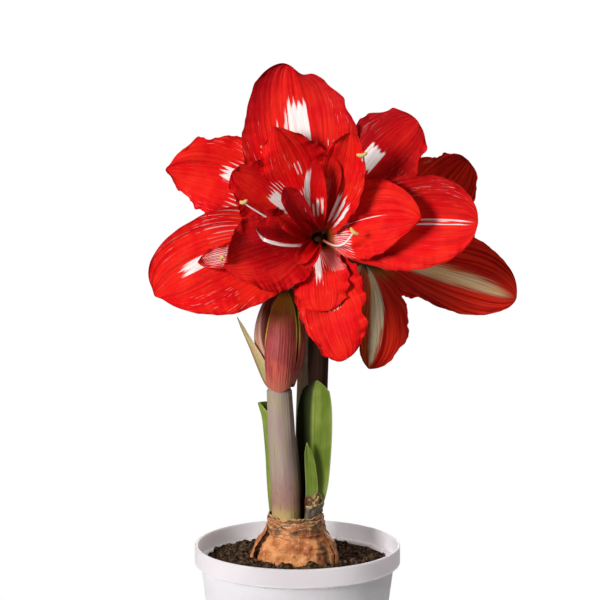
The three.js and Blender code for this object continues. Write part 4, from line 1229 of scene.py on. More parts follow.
@dataclass
class Valve:
    """Boat-shaped valve of the bud's sheath, between two angles about its own axis.

    radii are (place along, radius) pairs. keel ridges its middle, bow lifts the sides
    of its foot, and tuck draws its first margin in.
    """

    foot: tuple
    head: tuple
    radii: list
    start: float
    end: float
    keel: float
    bow: float
    seed: int
    tuck: float = 0.0

    def skin(self):
        t = np.linspace(0, 1, 90)[:, None]
        s = np.linspace(-1, 1, 60)[None]
        narrowed = 1 - 0.55 * (np.clip(t - 0.8, 0, None) / 0.2) ** 2
        angle = (self.start + self.end) / 2 + (self.end - self.start) / 2 * s * narrowed
        angle = np.radians(angle + 1.6 * waves(self.seed, 0.4 * s, 2 * t) * t)
        foot, head = np.array(self.foot), np.array(self.head)
        z = mix(foot[2] + self.bow * s * s, head[2], t)
        share = (z - foot[2]) / (head[2] - foot[2])
        radius = along(self.radii, np.clip(share, 0, 1)) * (1 + self.keel * (1 - np.abs(s)))
        veins = 0.11 * np.sin(TURN * 9 * s) + 0.12 * waves(self.seed + 1, 9 * s, 0.4 * t)
        pucker = 0.35 * waves(self.seed + 2, 1.1 * s, 1.5 * t)
        hem = 0.5 * eased(np.abs(s), 0.8, 1) * eased(t, 0.1, 0.5)
        radius = radius + (veins + pucker) * eased(t, 0, 0.15) * (1 - eased(t, 0.85, 1)) + hem
        radius = radius * (1 - self.tuck * (1 - eased(s, -1, -0.4)))
        rows = stack(
            mix(foot[0], head[0], share) + radius * np.cos(angle),
            mix(foot[1], head[1], share) + radius * np.sin(angle),
            z,
        )
        thick = 0.85 - 0.35 * np.abs(s) ** 4
        return turned_sheet(rows, thick, {"grain": stack(s, t, 0)})


SHEATH = {
    "bud_spathe_front": Valve(
        foot=(-13, -7.6, 242.4),
        head=(-9, -8.5, 317.5),
        radii=[
            (0, 9.5), (0.12, 10.9), (0.3, 12.4), (0.5, 12.2), (0.7, 10.2), (0.86, 6.8), (0.95, 3.4), (1, 1.2),
        ],
        start=204,
        end=331,
        keel=0.04,
        bow=6,
        seed=81,
    ),
    "bud_spathe_back": Valve(
        foot=(-10.6, -5.6, 243.4),
        head=(-5.4, -6.4, 316),
        radii=[
            (0, 7.6), (0.12, 10), (0.35, 13), (0.5, 12.8), (0.7, 10.2), (0.86, 7.4), (0.95, 4.6), (1, 1.6),
        ],
        start=-36,
        end=140,
        tuck=0.13,
        keel=0.05,
        bow=5,
        seed=86,
    ),
}


def closed_flower(path, radius, seed, foot):
    """Closed flower: a spindle of furled petals with shallow seams between them."""
    t = np.linspace(0, 1, 70)
    shape = [(0, foot), (0.25, foot + 0.07), (0.55, 1), (0.8, 0.78), (0.95, 0.35), (1, 0.1)]
    angle = np.arange(40) * TURN / 40
    seams = 1 - 0.09 * np.abs(np.cos(1.5 * angle + 3 * t[:, None] + seed)) ** 6
    radii = radius * along(shape, t)[:, None] * seams
    skin = tube(path_through(path, 70), radii, 40)
    around = skin.fields["grain"]
    s = np.sin(1.5 * np.arctan2(around[:, 1], around[:, 0]) + 3 * around[:, 2] + seed)
    skin.fields = {
        "grain": stack(s * 0.9, 0.3 + 0.6 * around[:, 2], 0),
        "marks": stack(np.abs(s), 0, 0),
    }
    return skin


def bud_flower_skins():
    foot = 243.2
    return [
        closed_flower([(-11.5, -7, foot), (-10.8, -7, 262), (-9.5, -7.5, 285), (-9, -8, 307)], 7.8, 1, 0.86),
        closed_flower(
            [
                (-14.5, -4.5, foot + 0.4), (-17, -4, 252), (-22.4, -3, 265), (-24.6, -3, 283),
                (-20.5, -3.5, 303), (-13, -5, 319),
            ],
            6.6, 2, 0.55,
        ),
    ]


BRACTS = {
    "bud_bract": Blade(
        path=[(-19, -7, 244), (-21.5, -8.5, 251), (-27.5, -9, 265), (-34.4, -7.5, 278), (-43.3, -5, 295)],
        facing=(-0.1, -0.99, 0),
        widths=[(0, 4), (0.2, 7), (0.5, 6.6), (0.8, 3.4), (1, 1.4)],
        channel=0.3,
        thickness=[(0, 0.8), (1, 0.6)],
        seed=91,
        ruffle=0.2,
    ),
    "spathe_dry_left": Blade(
        path=[
            (1.7, 18.6, 300), (-0.6, 20.1, 309), (-5.4, 24, 314), (-10.6, 29.6, 303), (-12.6, 33, 284),
            (-12, 34, 262),
        ],
        facing=(-0.3, 0.3, 0.9),
        widths=[(0, 9), (0.25, 19), (0.6, 15), (0.85, 8), (1, 2)],
        channel=0.25,
        thickness=[(0, 0.8), (1, 0.5)],
        seed=92,
        ruffle=0.8,
        curl=1.5,
    ),
    "spathe_dry_right": Blade(
        path=[
            (15.2, 23.9, 298), (15.6, 25.4, 307), (16.4, 30, 313), (17.2, 37, 304), (17, 40.4, 284),
            (15.6, 41.4, 266),
        ],
        facing=(0.1, 0.4, 0.9),
        widths=[(0, 8), (0.25, 12), (0.6, 12), (0.85, 7), (1, 2)],
        channel=0.25,
        thickness=[(0, 0.8), (1, 0.5)],
        seed=93,
        ruffle=0.8,
        curl=1.5,
    ),
}


# ------------------------------------------------------------------ flowers

class Flower:
    """Where a flower stands: its tube's base, its axis, and the viewer's right and up."""

    def __init__(self, name, base, axis, petals):
        self.name = name
        self.base = np.array(base, float)
        self.forward = unit(np.array(axis, float))
        self.up = unit(np.array([0, 0, 1.0]) - self.forward * self.forward[2])
        self.right = np.cross(self.up, self.forward)
        self.petals = petals

    def outward(self, degrees):
        angle = np.radians(degrees)[..., None]
        return self.right * np.cos(angle) + self.up * np.sin(angle)

    def sideways(self, degrees):
        angle = np.radians(degrees)[..., None]
        return self.up * np.cos(angle) - self.right * np.sin(angle)


@dataclass
class Petal:
    """One petal. Lengths in millimetres, angles in degrees.

    turn is the angle round the flower, anticlockwise from its right, and sway bends
    the petal on to another angle. opening holds its angle from the flower's axis at
    the base, the middle and the tip. skew widens its anticlockwise half. peak is
    where it is widest, foot how wide it starts, and a lower tip makes it blunter.
    cup and fold lift its sides, and wave is the size, number and phase of the
    margins' ruffles. rise is how far up the tube it starts. steps is how many steps
    the solid's petal has. frill and scallop are the sizes of the margins' fine
    ruffles and bays, and roll curls the petal up lengthwise. notch is the place,
    width and depth of a dent in the tip, and slant pushes one side of the tip out.
    tone deepens its red: partly the petal's own crimson, partly painted shade. stripe
    strengthens the pale rib on its back, and at 2 paints light on its back, an orange
    sunlit side and a cream rib. White marks are (kind, place across, half width, place
    along, half length, most strength).
    """

    name: str
    turn: float
    length: float
    width: float
    opening: tuple = (20, 72, 84)
    sway: float = 0
    skew: float = 0
    peak: float = 0.6
    tip: float = 0.42
    foot: float = 0.12
    cup: tuple = (0.15, 0.1)
    fold: float = 0
    wave: tuple = (0, 2, 0)
    rise: float = 1.6
    steps: int = 7
    frill: float = 0.9
    roll: float = 0
    scallop: float = 0.7
    notch: tuple = (0, 0.12, 0)
    slant: float = 0
    tone: float = 0.1
    stripe: float = 1
    white: tuple = ()

    def half_width(self, t):
        growing = self.foot + (1 - self.foot) * np.sin(math.pi / 2 * np.minimum(1, t / self.peak)) ** 1.2
        past = np.clip((t - self.peak) / (1 - self.peak), 0, 1)
        closing = np.maximum(0.03, (1 - past * past) ** self.tip)
        return self.width / 2 * np.where(t < self.peak, growing, closing)

    def lean(self, t):
        first, middle, last = self.opening
        return np.radians(first * (1 - t) * (1 - 2 * t) + middle * 4 * t * (1 - t) + last * t * (2 * t - 1))

    def midline(self, flower, t):
        """Points down the middle, and the directions aside, inward and ahead at each."""
        outward = flower.outward(self.turn + self.sway * t * t)
        side = flower.sideways(self.turn + self.sway * t * t)
        # the solid has few steps and takes a step's angle from its middle
        middle_of_step = np.minimum(1, t + 0.5 * TIP_CROWDING / self.steps * (1 - t) ** 0.26)
        lean = self.lean(middle_of_step)[:, None]
        ahead = flower.forward * np.cos(lean) + outward * np.sin(lean)
        start = flower.base + flower.forward * self.rise + outward[0] * TUBE_RADIUS
        strides = ahead[1:] * (self.length * np.diff(t))[:, None]
        points = np.concatenate([start[None], start + np.cumsum(strides, axis=0)])
        lean = self.lean(t)[:, None]
        inward = flower.forward * np.sin(lean) - outward * np.cos(lean)
        return points, side, inward, ahead

    def surface(self, s, t, half, seed, frill):
        """How far each point is from the midline: aside, inward and ahead."""
        grown = np.minimum(1, 2.5 * t)
        reach = half * (1 + self.skew * np.sign(s))
        bays = np.abs(waves(seed + 1, 6 * t, 0.2 * s, count=4))
        bays = bays + 0.4 * np.abs(waves(seed + 2, 15 * t, 0.2 * s, count=3))
        bays = self.scallop * bays * np.sign(s) * np.abs(s) ** 9 * grown
        drift = 0.02 * waves(seed + 6, 3 * t, 0.3 * s)
        across = reach * s * (1 + drift * np.abs(s) ** 3) - bays
        size, turns, phase = self.wave
        phase = phase + np.where(s > 0, 0.35, 0)
        ruffle = size * s * s * np.sin(TURN * (turns * t + phase)) * grown
        cup = mix(self.cup[0], self.cup[1], t)
        height = reach * (cup * s * s + self.fold * np.abs(s)) + ruffle
        small = self.frill * frill * np.abs(s) ** 4 * np.minimum(1, 3 * t)
        frills = waves(seed + 3, 9 * t, 0.4 * s, count=4) + 0.5 * waves(seed + 4, 20 * t, 0.5 * s, count=4)
        height = height + small * frills
        fan = s / (0.35 + 0.9 * t)
        height = height + 0.3 * grown * waves(seed + 5, 5 * fan, 0.6 * t, count=6)
        height = height - 0.9 * grown * np.exp(-((s / 0.06) ** 2)) * (1 - 0.7 * t)
        height = height + 0.045 * half * waves(seed + 7, 0.8 * s, 1.3 * t, count=4) * grown
        if self.roll:
            bend = math.radians(self.roll) * np.sin(math.pi * np.clip(t * 1.15, 0, 1)) ** 0.5
            bend = np.maximum(bend, 1e-3)
            height = reach * (1 - np.cos(bend * s)) / bend + 0.2 * height
            across = reach * np.sin(bend * s) / bend
        spot, spread, depth = self.notch
        aside = across / (self.width / 2)
        lobes = self.slant * np.clip(1.6 * aside, -1, 1) - depth * np.exp(-(((aside - spot) / spread) ** 2))
        return across, height, lobes * eased(t, 0.72, 1)

    def skin(self, flower, seed, thickness, frill):
        t = 1 - (1 - np.linspace(0, 1, PETAL_ROWS + 1)) ** TIP_CROWDING
        x = np.linspace(-1, 1, PETAL_COLUMNS + 1)
        s = (x * (1.2 - 0.2 * x * x))[None]
        points, *directions = self.midline(flower, t)
        points = points[:, None]
        t = t[:, None]
        distances = self.surface(s, t, self.half_width(t), seed, frill)
        for direction, distance in zip(directions, distances):
            points = points + direction[:, None] * distance[..., None]
        thick = thickness * mix(1.5, 0.9, np.minimum(1, 3 * t))
        thick = thick * (1 - 0.6 * np.abs(s) ** 5) * (1 - 0.4 * eased(t, 0.9, 1))
        tone = self.tone + 0.26 * waves(seed + 8, 0.8 * s, 0.9 * t)
        shade = stack(tone, np.random.default_rng(seed).uniform(0, 50), self.stripe)
        return sheet(points, thick, {"grain": stack(s, t, 0), "white": self.marks(s, t), "shade": shade})

    def marks(self, s, t):
        """How far inside a patch, a feathered zone or a flecked zone each point is, from -1 to 1."""
        zones = {"patch": -1, "feather": -1, "dash": -1}
        for kind, middle, half_width, centre, half_length, *strength in self.white:
            inside = 1 - np.maximum(np.abs(s - middle) / half_width, np.abs(t - centre) / half_length)
            inside = np.clip(inside, -1, 1)
            zones[kind] = np.maximum(zones[kind], np.minimum(inside, *(strength or [1])))
        return stack(zones["patch"], zones["feather"], zones["dash"])


def inner_petal(name, turn, length, width, **settings):
    usual = dict(rise=6, steps=5, opening=(14, 54, 60), peak=0.56, tip=0.5, cup=(0.1, 0), tone=0.3)
    return Petal(name, turn, length, width, **{**usual, **settings})


def petaloid(name, turn, length, width, **settings):
    usual = dict(rise=11, steps=5, opening=(8, 40, 50), tip=0.6, cup=(0.3, 0.2), tone=0.3, frill=0.4)
    return Petal(name, turn, length, width, **{**usual, **settings})


FRONT_PETALS = [
    Petal(
        "top", 98.6, 127.5, 84, opening=(20, 76, 80), tip=0.5, peak=0.47, cup=(0.1, 0.2),
        wave=(4.5, 1.6, 0.15), skew=0.05, notch=(-0.14, 0.16, 6.5), slant=7, tone=0.6, scallop=1.6,
        white=(
            ("patch", 0.02, 0.22, 0.65, 0.15), ("feather", -0.5, 0.4, 0.42, 0.16, 0.16),
            ("feather", 0.3, 0.25, 0.56, 0.16, 0.3), ("dash", -0.85, 0.25, 0.6, 0.2, 0.5),
            ("dash", 0.85, 0.2, 0.6, 0.2, 0.5),
        ),
    ),
    Petal(
        "upper_left", 141, 120, 64, opening=(20, 75, 85), sway=41, skew=-0.04, tip=0.5, cup=(0.15, 0.05),
        wave=(3, 2.6, 0), notch=(0, 0.1, -3), tone=0, scallop=3.6, frill=1.7,
        white=(
            ("patch", -0.14, 0.17, 0.61, 0.1), ("feather", 0.5, 0.5, 0.45, 0.2, 0.32),
            ("feather", -0.6, 0.45, 0.5, 0.2, 0.26), ("dash", 0.85, 0.25, 0.75, 0.2),
            ("dash", -0.8, 0.25, 0.75, 0.2),
        ),
    ),
    Petal(
        "lower_left", 186, 125, 72, opening=(20, 75, 82), sway=39, skew=0.14, peak=0.54, cup=(0.2, 0.2),
        wave=(2, 1.5, 0.5), notch=(0, 0.1, -2), tone=0, scallop=0.6,
        white=(
            ("patch", -0.04, 0.14, 0.65, 0.17), ("feather", -0.6, 0.4, 0.48, 0.16, 0.12),
            ("dash", 0.8, 0.35, 0.7, 0.35), ("dash", -0.8, 0.3, 0.7, 0.3),
        ),
    ),
    Petal(
        "bottom", 275, 93, 50, opening=(20, 68, 84), sway=25, skew=0.18, peak=0.5, tip=0.38, cup=(0.15, 0),
        wave=(2.6, 2.6, 0), tone=0, frill=1.7, scallop=2.2, foot=0.4,
        white=(
            ("patch", 0.18, 0.15, 0.57, 0.05), ("dash", 0.4, 0.35, 0.48, 0.12),
            ("dash", -0.85, 0.25, 0.6, 0.3),
        ),
    ),
    Petal(
        "right", 12, 119, 66, opening=(20, 70, 78), sway=-20, cup=(0.25, 0.2), tone=0.28,
        white=(
            ("feather", 0, 0.12, 0.8, 0.2, 0.5), ("patch", 0.0, 0.03, 0.74, 0.1, 0.3),
            ("dash", 0.75, 0.3, 0.75, 0.25),
        ),
    ),
    Petal(
        "upper_right", 56, 114, 62, opening=(20, 72, 100), sway=-18, cup=(0.15, 0.05), wave=(2.8, 2.6, 0),
        tone=0.4, frill=1.9, scallop=2.6,
        white=(
            ("patch", 0.12, 0.22, 0.64, 0.08), ("dash", 0.7, 0.3, 0.75, 0.2), ("dash", -0.6, 0.3, 0.6, 0.2),
        ),
    ),
    inner_petal(
        "inner_right", 26, 87, 56, opening=(14, 55, 68), sway=-45, peak=0.52, tip=0.72, cup=(0, -0.1),
        fold=0.3, tone=0,
        white=(("patch", 0.0, 0.03, 0.5, 0.25, 0.4), ("feather", 0, 1.1, 0.27, 0.12, 0.45)),
    ),
    inner_petal(
        "inner_bottom", 276, 58, 41, opening=(14, 52, 92), foot=0.2, peak=0.6, tip=0.35, cup=(0.1, -0.1),
        tone=0, frill=1.8, scallop=1.2,
        white=(("patch", -0.08, 0.13, 0.38, 0.26), ("feather", 0, 1.1, 0.34, 0.2, 0.28)),
    ),
    inner_petal(
        "inner_left", 197, 76, 59, opening=(14, 56, 62), fold=0.32, wave=(4.8, 2.0, 0.3), tone=0.68, frill=2,
        scallop=1.4, tip=0.62,
        white=(("feather", -0.4, 0.3, 0.45, 0.12, 0.3),),
    ),
    inner_petal(
        "inner_upper_left", 138, 86, 46, sway=10, cup=(0.1, -0.2), wave=(2.5, 2.2, 0.1), tone=0.3, frill=1.8,
        scallop=1.6,
        white=(("patch", -0.1, 0.22, 0.5, 0.13), ("feather", -0.6, 0.45, 0.5, 0.2, 0.3)),
    ),
    inner_petal(
        "inner_top", 107, 94, 54, opening=(12, 54, 68), sway=10, peak=0.58, tip=0.85, fold=-0.2,
        wave=(3, 2.3, 0.2), tone=0.2, frill=2, scallop=1.2,
        white=(
            ("feather", -0.1, 0.14, 0.64, 0.06, 0.4), ("feather", 0.1, 0.9, 0.36, 0.14, 0.45),
            ("dash", 0.2, 0.5, 0.72, 0.12),
        ),
    ),
    inner_petal(
        "inner_upper_right", 64, 99, 38, opening=(10, 44, 56), sway=20, skew=0.05, cup=(0.5, 0.3), tone=0,
        frill=1.8,
        white=(
            ("patch", -0.64, 0.08, 0.35, 0.13, 0.4), ("patch", -0.4, 0.07, 0.38, 0.14, 0.4),
            ("patch", -0.18, 0.07, 0.37, 0.15, 0.4), ("patch", 0.04, 0.07, 0.36, 0.14, 0.4),
            ("patch", 0.26, 0.06, 0.34, 0.12, 0.4), ("dash", -0.8, 0.25, 0.7, 0.2),
        ),
    ),
    petaloid(
        "petaloid_1", 90, 80, 17, opening=(8, 34, 50), tone=0.1, roll=50,
        white=(
            ("patch", 0.8, 0.35, 0.68, 0.22), ("patch", -0.55, 0.13, 0.5, 0.1, 0.3),
            ("patch", -0.15, 0.12, 0.47, 0.12, 0.3), ("patch", 0.25, 0.1, 0.43, 0.1, 0.3),
        ),
    ),
    petaloid("petaloid_2", 122, 66, 20, opening=(5, 30, 46), cup=(0.5, 0.3), tone=0.75, roll=95),
    petaloid("petaloid_3", 235, 42, 14, opening=(4, 24, 40), cup=(0.5, 0.6), tone=0.4, roll=90),
    petaloid("petaloid_4", 171, 58, 24, roll=75, tone=0.7, white=(("patch", 0.92, 0.24, 0.66, 0.34),)),
    petaloid(
        "petaloid_5", 192, 90, 20, rise=4, opening=(17, 65, 70), peak=0.75, tone=0.3, frill=2.2, scallop=1.5,
        white=(("feather", 0, 0.9, 0.8, 0.2),),
    ),
    petaloid(
        "petaloid_6", 76, 74, 16, opening=(10, 42, 56), peak=0.75, tone=0.3, roll=60,
        white=(("feather", 0.3, 0.6, 0.6, 0.2, 0.12),),
    ),
    petaloid("petaloid_7", 152, 46, 16, opening=(6, 30, 50), tone=0.4, roll=80, frill=1.2, scallop=1.2),
    petaloid("petaloid_8", 256, 40, 13, opening=(3, 22, 60), sway=-24, tone=0, roll=80, peak=0.7),
]

BACK_MARKS = (
    ("patch", 0, 0.12, 0.68, 0.14),
    ("feather", 0.45, 0.35, 0.46, 0.16),
    ("feather", -0.45, 0.35, 0.46, 0.16),
)
BACK_PETALS = [
    Petal(
        "upper_right", 131, 105, 60, opening=(20, 60, 80), wave=(2.5, 2.6, 0), frill=1.8, scallop=2.8,
        tone=0.3, stripe=0,
        white=BACK_MARKS,
    ),
    Petal(
        "right", 198, 116, 60, opening=(20, 60, 70), peak=0.55, tip=0.55, cup=(0.15, 0.15), skew=-0.14,
        tone=0.2, scallop=0.3,
        white=BACK_MARKS,
    ),
    # stripe 2 paints light on this petal's back
    Petal(
        "bottom", 281, 97, 52, opening=(20, 70, 90), peak=0.55, tip=0.6, cup=(0.2, 0.2), skew=-0.12, tone=0.2,
        stripe=2, scallop=1.5,
        white=BACK_MARKS,
    ),
    Petal("top", 76, 112, 62, opening=(20, 68, 82), wave=(2.5, 2.2, 0.3), tone=0.15, white=BACK_MARKS),
    Petal(
        "upper_left", 22, 116, 66, opening=(20, 68, 80), cup=(0.2, 0.1), wave=(2, 2.4, 0.6),
        white=BACK_MARKS,
    ),
    Petal(
        "lower_left", 330, 110, 62, opening=(20, 68, 84), cup=(0.2, 0.1), wave=(2, 2, 0.1),
        white=BACK_MARKS,
    ),
    inner_petal("inner_upper_left", 48, 96, 50, fold=0.2, white=BACK_MARKS),
    inner_petal("inner_top", 106, 92, 48, opening=(12, 50, 60), fold=-0.2, white=BACK_MARKS),
    inner_petal("inner_upper_right", 164, 80, 46, fold=0.25, white=BACK_MARKS),
    inner_petal("inner_lower_right", 226, 56, 40, opening=(14, 40, 50), white=BACK_MARKS),
    inner_petal("inner_lower_left", 300, 82, 46, opening=(14, 52, 72), white=BACK_MARKS),
    inner_petal("inner_left", 0, 92, 50, cup=(0.3, 0.1), white=BACK_MARKS),
    petaloid("petaloid_1", 20, 66, 18, opening=(6, 32, 46), cup=(0.4, 0.3), roll=70),
    petaloid("petaloid_2", 82, 78, 18, opening=(8, 36, 50), roll=40, white=(("feather", 0, 0.8, 0.6, 0.2),)),
    petaloid("petaloid_3", 140, 68, 20, opening=(6, 34, 48), cup=(0.4, 0.3), roll=80),
    petaloid("petaloid_4", 198, 62, 18, roll=50, white=(("patch", 0.8, 0.35, 0.68, 0.22),)),
    petaloid("petaloid_5", 262, 50, 16, opening=(4, 28, 44), roll=80),
    petaloid("petaloid_6", 325, 60, 18, roll=60),
]

FRONT = Flower("front", (15, -22, 352), (-0.05, -0.99, 0.1), FRONT_PETALS)
BACK = Flower("back", (47, 26, 336), (0.62, 0.78, 0.02), BACK_PETALS)

# bend and tip of each stamen: to the flower's right, up and forward of its base
STAMENS = [
    ((17, -10, 40), (25.5, 3.5, 53)),
    ((33, 36, 40), (31.5, 53.5, 72)),
    ((-26, 8, 34), (-49, 23, 54)),
    ((0, 22, 36), (0.5, 44.5, 52)),
    ((-33, -4, 34), (-64, -13.5, 46)),
]


def stamen_skins(flower, bend, tip, seed):
    """Thread that bends out of the throat, and the crooked anther across its tip."""
    axes = np.array([flower.right, flower.up, flower.forward])
    start = flower.base + flower.forward * 12 + unit(np.array(tip[:2]) @ axes[:2]) * 2
    bend, tip = (flower.base + np.array(place, float) @ axes for place in (bend, tip))
    path = bezier([start, mix(start, bend, 0.8), mix(tip, bend, 0.8), tip], 48)
    t = np.linspace(0, 1, 48)
    thread = tube(path, mix(0.95, 0.5, t) * np.clip((1 - t) * 30, 0.3, 1), 12)
    draw = np.random.default_rng(seed)
    lie = unit(np.cross(path[-1] - path[-4], draw.normal(size=3)))
    curl = unit(np.cross(path[-1] - path[-4], lie))
    x = np.linspace(-1, 1, 26)[:, None]
    crescent = tip + lie * 3.6 * x + curl * 1.8 * x * x + flower.forward * 0.6
    plump = 1.25 * np.sqrt(np.clip(1 - x[:, 0] ** 4, 0.01, 1)) * (1 + 0.1 * waves(seed, 3 * x[:, 0]))
    anther = tube(crescent, plump, 14)
    anther.fields["grain"][:, 2] = 1
    thread.fields["grain"][:, 2] *= 0.7
    return [thread, anther]


def flower_core(flower):
    """Short green tube that the petals grow from."""
    t = np.linspace(0, 1, 30)
    shape = [(0, 5.2), (0.25, 6.4), (0.45, 6.2), (0.75, 4.4), (1, 1.6)]
    path = flower.base + flower.forward * (TUBE_LENGTH * t)[:, None]
    core = tube(path, along(shape, t), 30)
    core.fields = {
        "grain": stack(core.fields["grain"][:, 0] * 0.3, 0.02 + 0.06 * core.fields["grain"][:, 2], 1),
        "white": np.full_like(core.points, -1.0),
        "shade": stack(np.zeros(len(core.points)), 2.0, 1.0),
    }
    return core


def pedicel_skin(foot, flower):
    """Flower stem from the stalk's top, ending in the three-ribbed swollen ovary."""
    seat = flower.base - flower.forward * CLEARANCE
    foot = np.array(foot, float)
    path = bezier([foot, foot + [0, 0, 26], seat - flower.forward * 22, seat], STEM_ROWS)
    t = np.linspace(0, 1, STEM_ROWS)[:, None]
    shape = [(0, 4.4), (0.5, 4.1), (0.66, 4.6), (0.82, 6.6), (0.92, 6.4), (1, 5)]
    angle = np.arange(STEM_SIDES) * TURN / STEM_SIDES
    ribs = 1 + 0.06 * np.cos(3 * angle) * eased(t, 0.62, 0.82) + 0.01 * np.cos(14 * angle)
    return tube(path, along(shape, t[:, 0])[:, None] * ribs, STEM_SIDES)


# ------------------------------------------------------------------ settings

def color_property(name, description, default):
    kind = dict(subtype="COLOR", size=3, min=0, max=1)
    return FloatVectorProperty(name=name, description=description, default=default, **kind)


def length_property(name, description, default):
    """Setting in metres."""
    kind = dict(subtype="DISTANCE", unit="LENGTH")
    return FloatProperty(name=name, description=description, default=default, **kind)


def number_property(name, description, default, subtype="NONE"):
    return FloatProperty(name=name, description=description, default=default, subtype=subtype)


class AmaryllisPotSettings(bpy.types.PropertyGroup):
    """Sizes and colours of the pot and its peat."""

    plastic: color_property("Plastic", "Colour of the pot", (0.86, 0.795, 0.84))
    peat: color_property("Peat", "Colour of the browner crumbs of peat", (0.20, 0.115, 0.065))
    fibre: color_property("Fibre", "Colour of scraps and fibres in the peat", (0.17, 0.10, 0.055))
    crumb_size: length_property("Crumb size", "Mean radius of the crumbs", 0.0017)
    crumb_density: number_property("Crumb density", "Crumbs for each square metre", 105000)
    fibre_length: length_property("Fibre length", "Mean length of the fibres", 0.006)
    fibre_density: number_property("Fibre density", "Fibres for each square metre", 22000)
    crumb_seed: IntProperty(name="Seed", description="Which random layout the crumbs take", default=4)


class AmaryllisPlantSettings(bpy.types.PropertyGroup):
    """Colours of the bulb, stalks, leaves and bud."""

    tunic: color_property("Tunic", "Rust-brown of the bulb's dry coats", (0.48, 0.14, 0.038))
    tunic_pale: color_property("Pale tunic", "Lighter places on the coats", (0.74, 0.31, 0.11))
    tunic_dark: color_property("Dark tunic", "Blotches and grain on the coats", (0.17, 0.045, 0.02))
    tunic_torn: color_property("Torn edge", "Torn edges of the coats", (0.62, 0.42, 0.21))
    stalk_blush: color_property("Front stalk", "Mauve of the bud's stalk", (0.38, 0.265, 0.25))
    stalk_green: color_property("Front stalk green", "Green shade of the bud's stalk", (0.38, 0.315, 0.21))
    rear_blush: color_property("Rear stalk", "Brown of the flowers' stalk", (0.34, 0.27, 0.19))
    rear_green: color_property("Rear stalk green", "Green shade of the flowers' stalk", (0.42, 0.42, 0.27))
    stem_blush: color_property("Flower stem", "Red-brown of the flowers' stems", (0.20, 0.045, 0.025))
    stem_green: color_property("Flower stem green", "Olive shade of the flowers' stems", (0.24, 0.10, 0.04))
    leaf: color_property("Leaf", "Green of the leaves", (0.13, 0.19, 0.022))
    leaf_pale: color_property("Pale leaf", "Lighter green of the leaves", (0.275, 0.345, 0.065))
    sheath: color_property("Sheath", "Rosy colour of the bud's sheath", (0.60, 0.105, 0.070))
    sheath_deep: color_property("Deep sheath", "Darker places on the sheath", (0.40, 0.055, 0.060))
    bract: color_property("Bract", "Tan of withered bracts", (0.60, 0.42, 0.22))


class AmaryllisFlowerSettings(bpy.types.PropertyGroup):
    """Sizes and colours of the flowers."""

    petal: color_property("Petal", "Red of the petals", (0.76, 0.004, 0.006))
    petal_warm: color_property("Warm petal", "Orange-red places on the petals", (0.86, 0.018, 0.008))
    # petal_deep also colours the painted shade that tone lays on
    petal_deep: color_property("Deep petal", "Crimson of veins and folds", (0.33, 0.002, 0.006))
    petal_white: color_property("White mark", "White of stripes and feathers", (0.97, 0.91, 0.88))
    throat: color_property("Throat", "Yellow-green at the petals' feet", (0.30, 0.30, 0.06))
    pollen: color_property("Pollen", "Pale yellow of the anthers", (0.85, 0.66, 0.22))
    thickness: length_property("Petal thickness", "Of a petal's blade", 0.00055)
    frill: length_property("Frill", "Height of the fine ruffles along the petals' margins", 0.0009)


class AmaryllisStageSettings(bpy.types.PropertyGroup):
    """Camera, floor and lights."""

    floor: color_property("Floor", "Colour of the floor", (0.86, 0.86, 0.86))
    key: number_property("Key light", "Power of the key light in watts", 34, "POWER")
    fill: number_property("Fill light", "Strength of the white surroundings in front", 0.03)
    glow: number_property("Backdrop", "Strength of the white surroundings behind", 0.5)
    lens: number_property("Lens", "Focal length in millimetres", 102.42)
    camera_distance: length_property("Camera distance", "From the camera to the pot's axis", 1.2237)
    camera_height: length_property("Camera height", "Of the camera over the pot's base", 0.4354)
    camera_pitch: FloatProperty(
        name="Camera pitch",
        description="How far the camera looks down",
        subtype="ANGLE",
        unit="ROTATION",
        default=math.radians(6),
    )


# ------------------------------------------------------------------ stage

WHITE = (1, 1, 1, 1)
FLOOR_RADIUS = 340
FLOOR_THICKNESS = 6
FLOOR_CENTRE = (0, -50, 0)
CAMERA_ASIDE = 0.0015  # metres from the pot's axis, to the right
# how far towards the rear (1 is straight back) the surroundings brighten
GLOW_STARTS = 0.45
GLOW_IS_FULL = 0.85
# place and size in metres, share of the key light's power, height that it is aimed at
LAMPS = (
    ("key", (-1.13, -1.31, 0.72), 0.6, 1, 0.25),
    ("high", (0.45, -0.6, 1.35), 0.5, 0.145, 0.12),
    ("card_right", (0.45, -0.55, 0.05), 0.4, 0.012, 0.04),
    ("rear", (0.3, 1.6, 0.6), 0.8, 0.5, 0.25),
)


# ------------------------------------------------------------------ operators

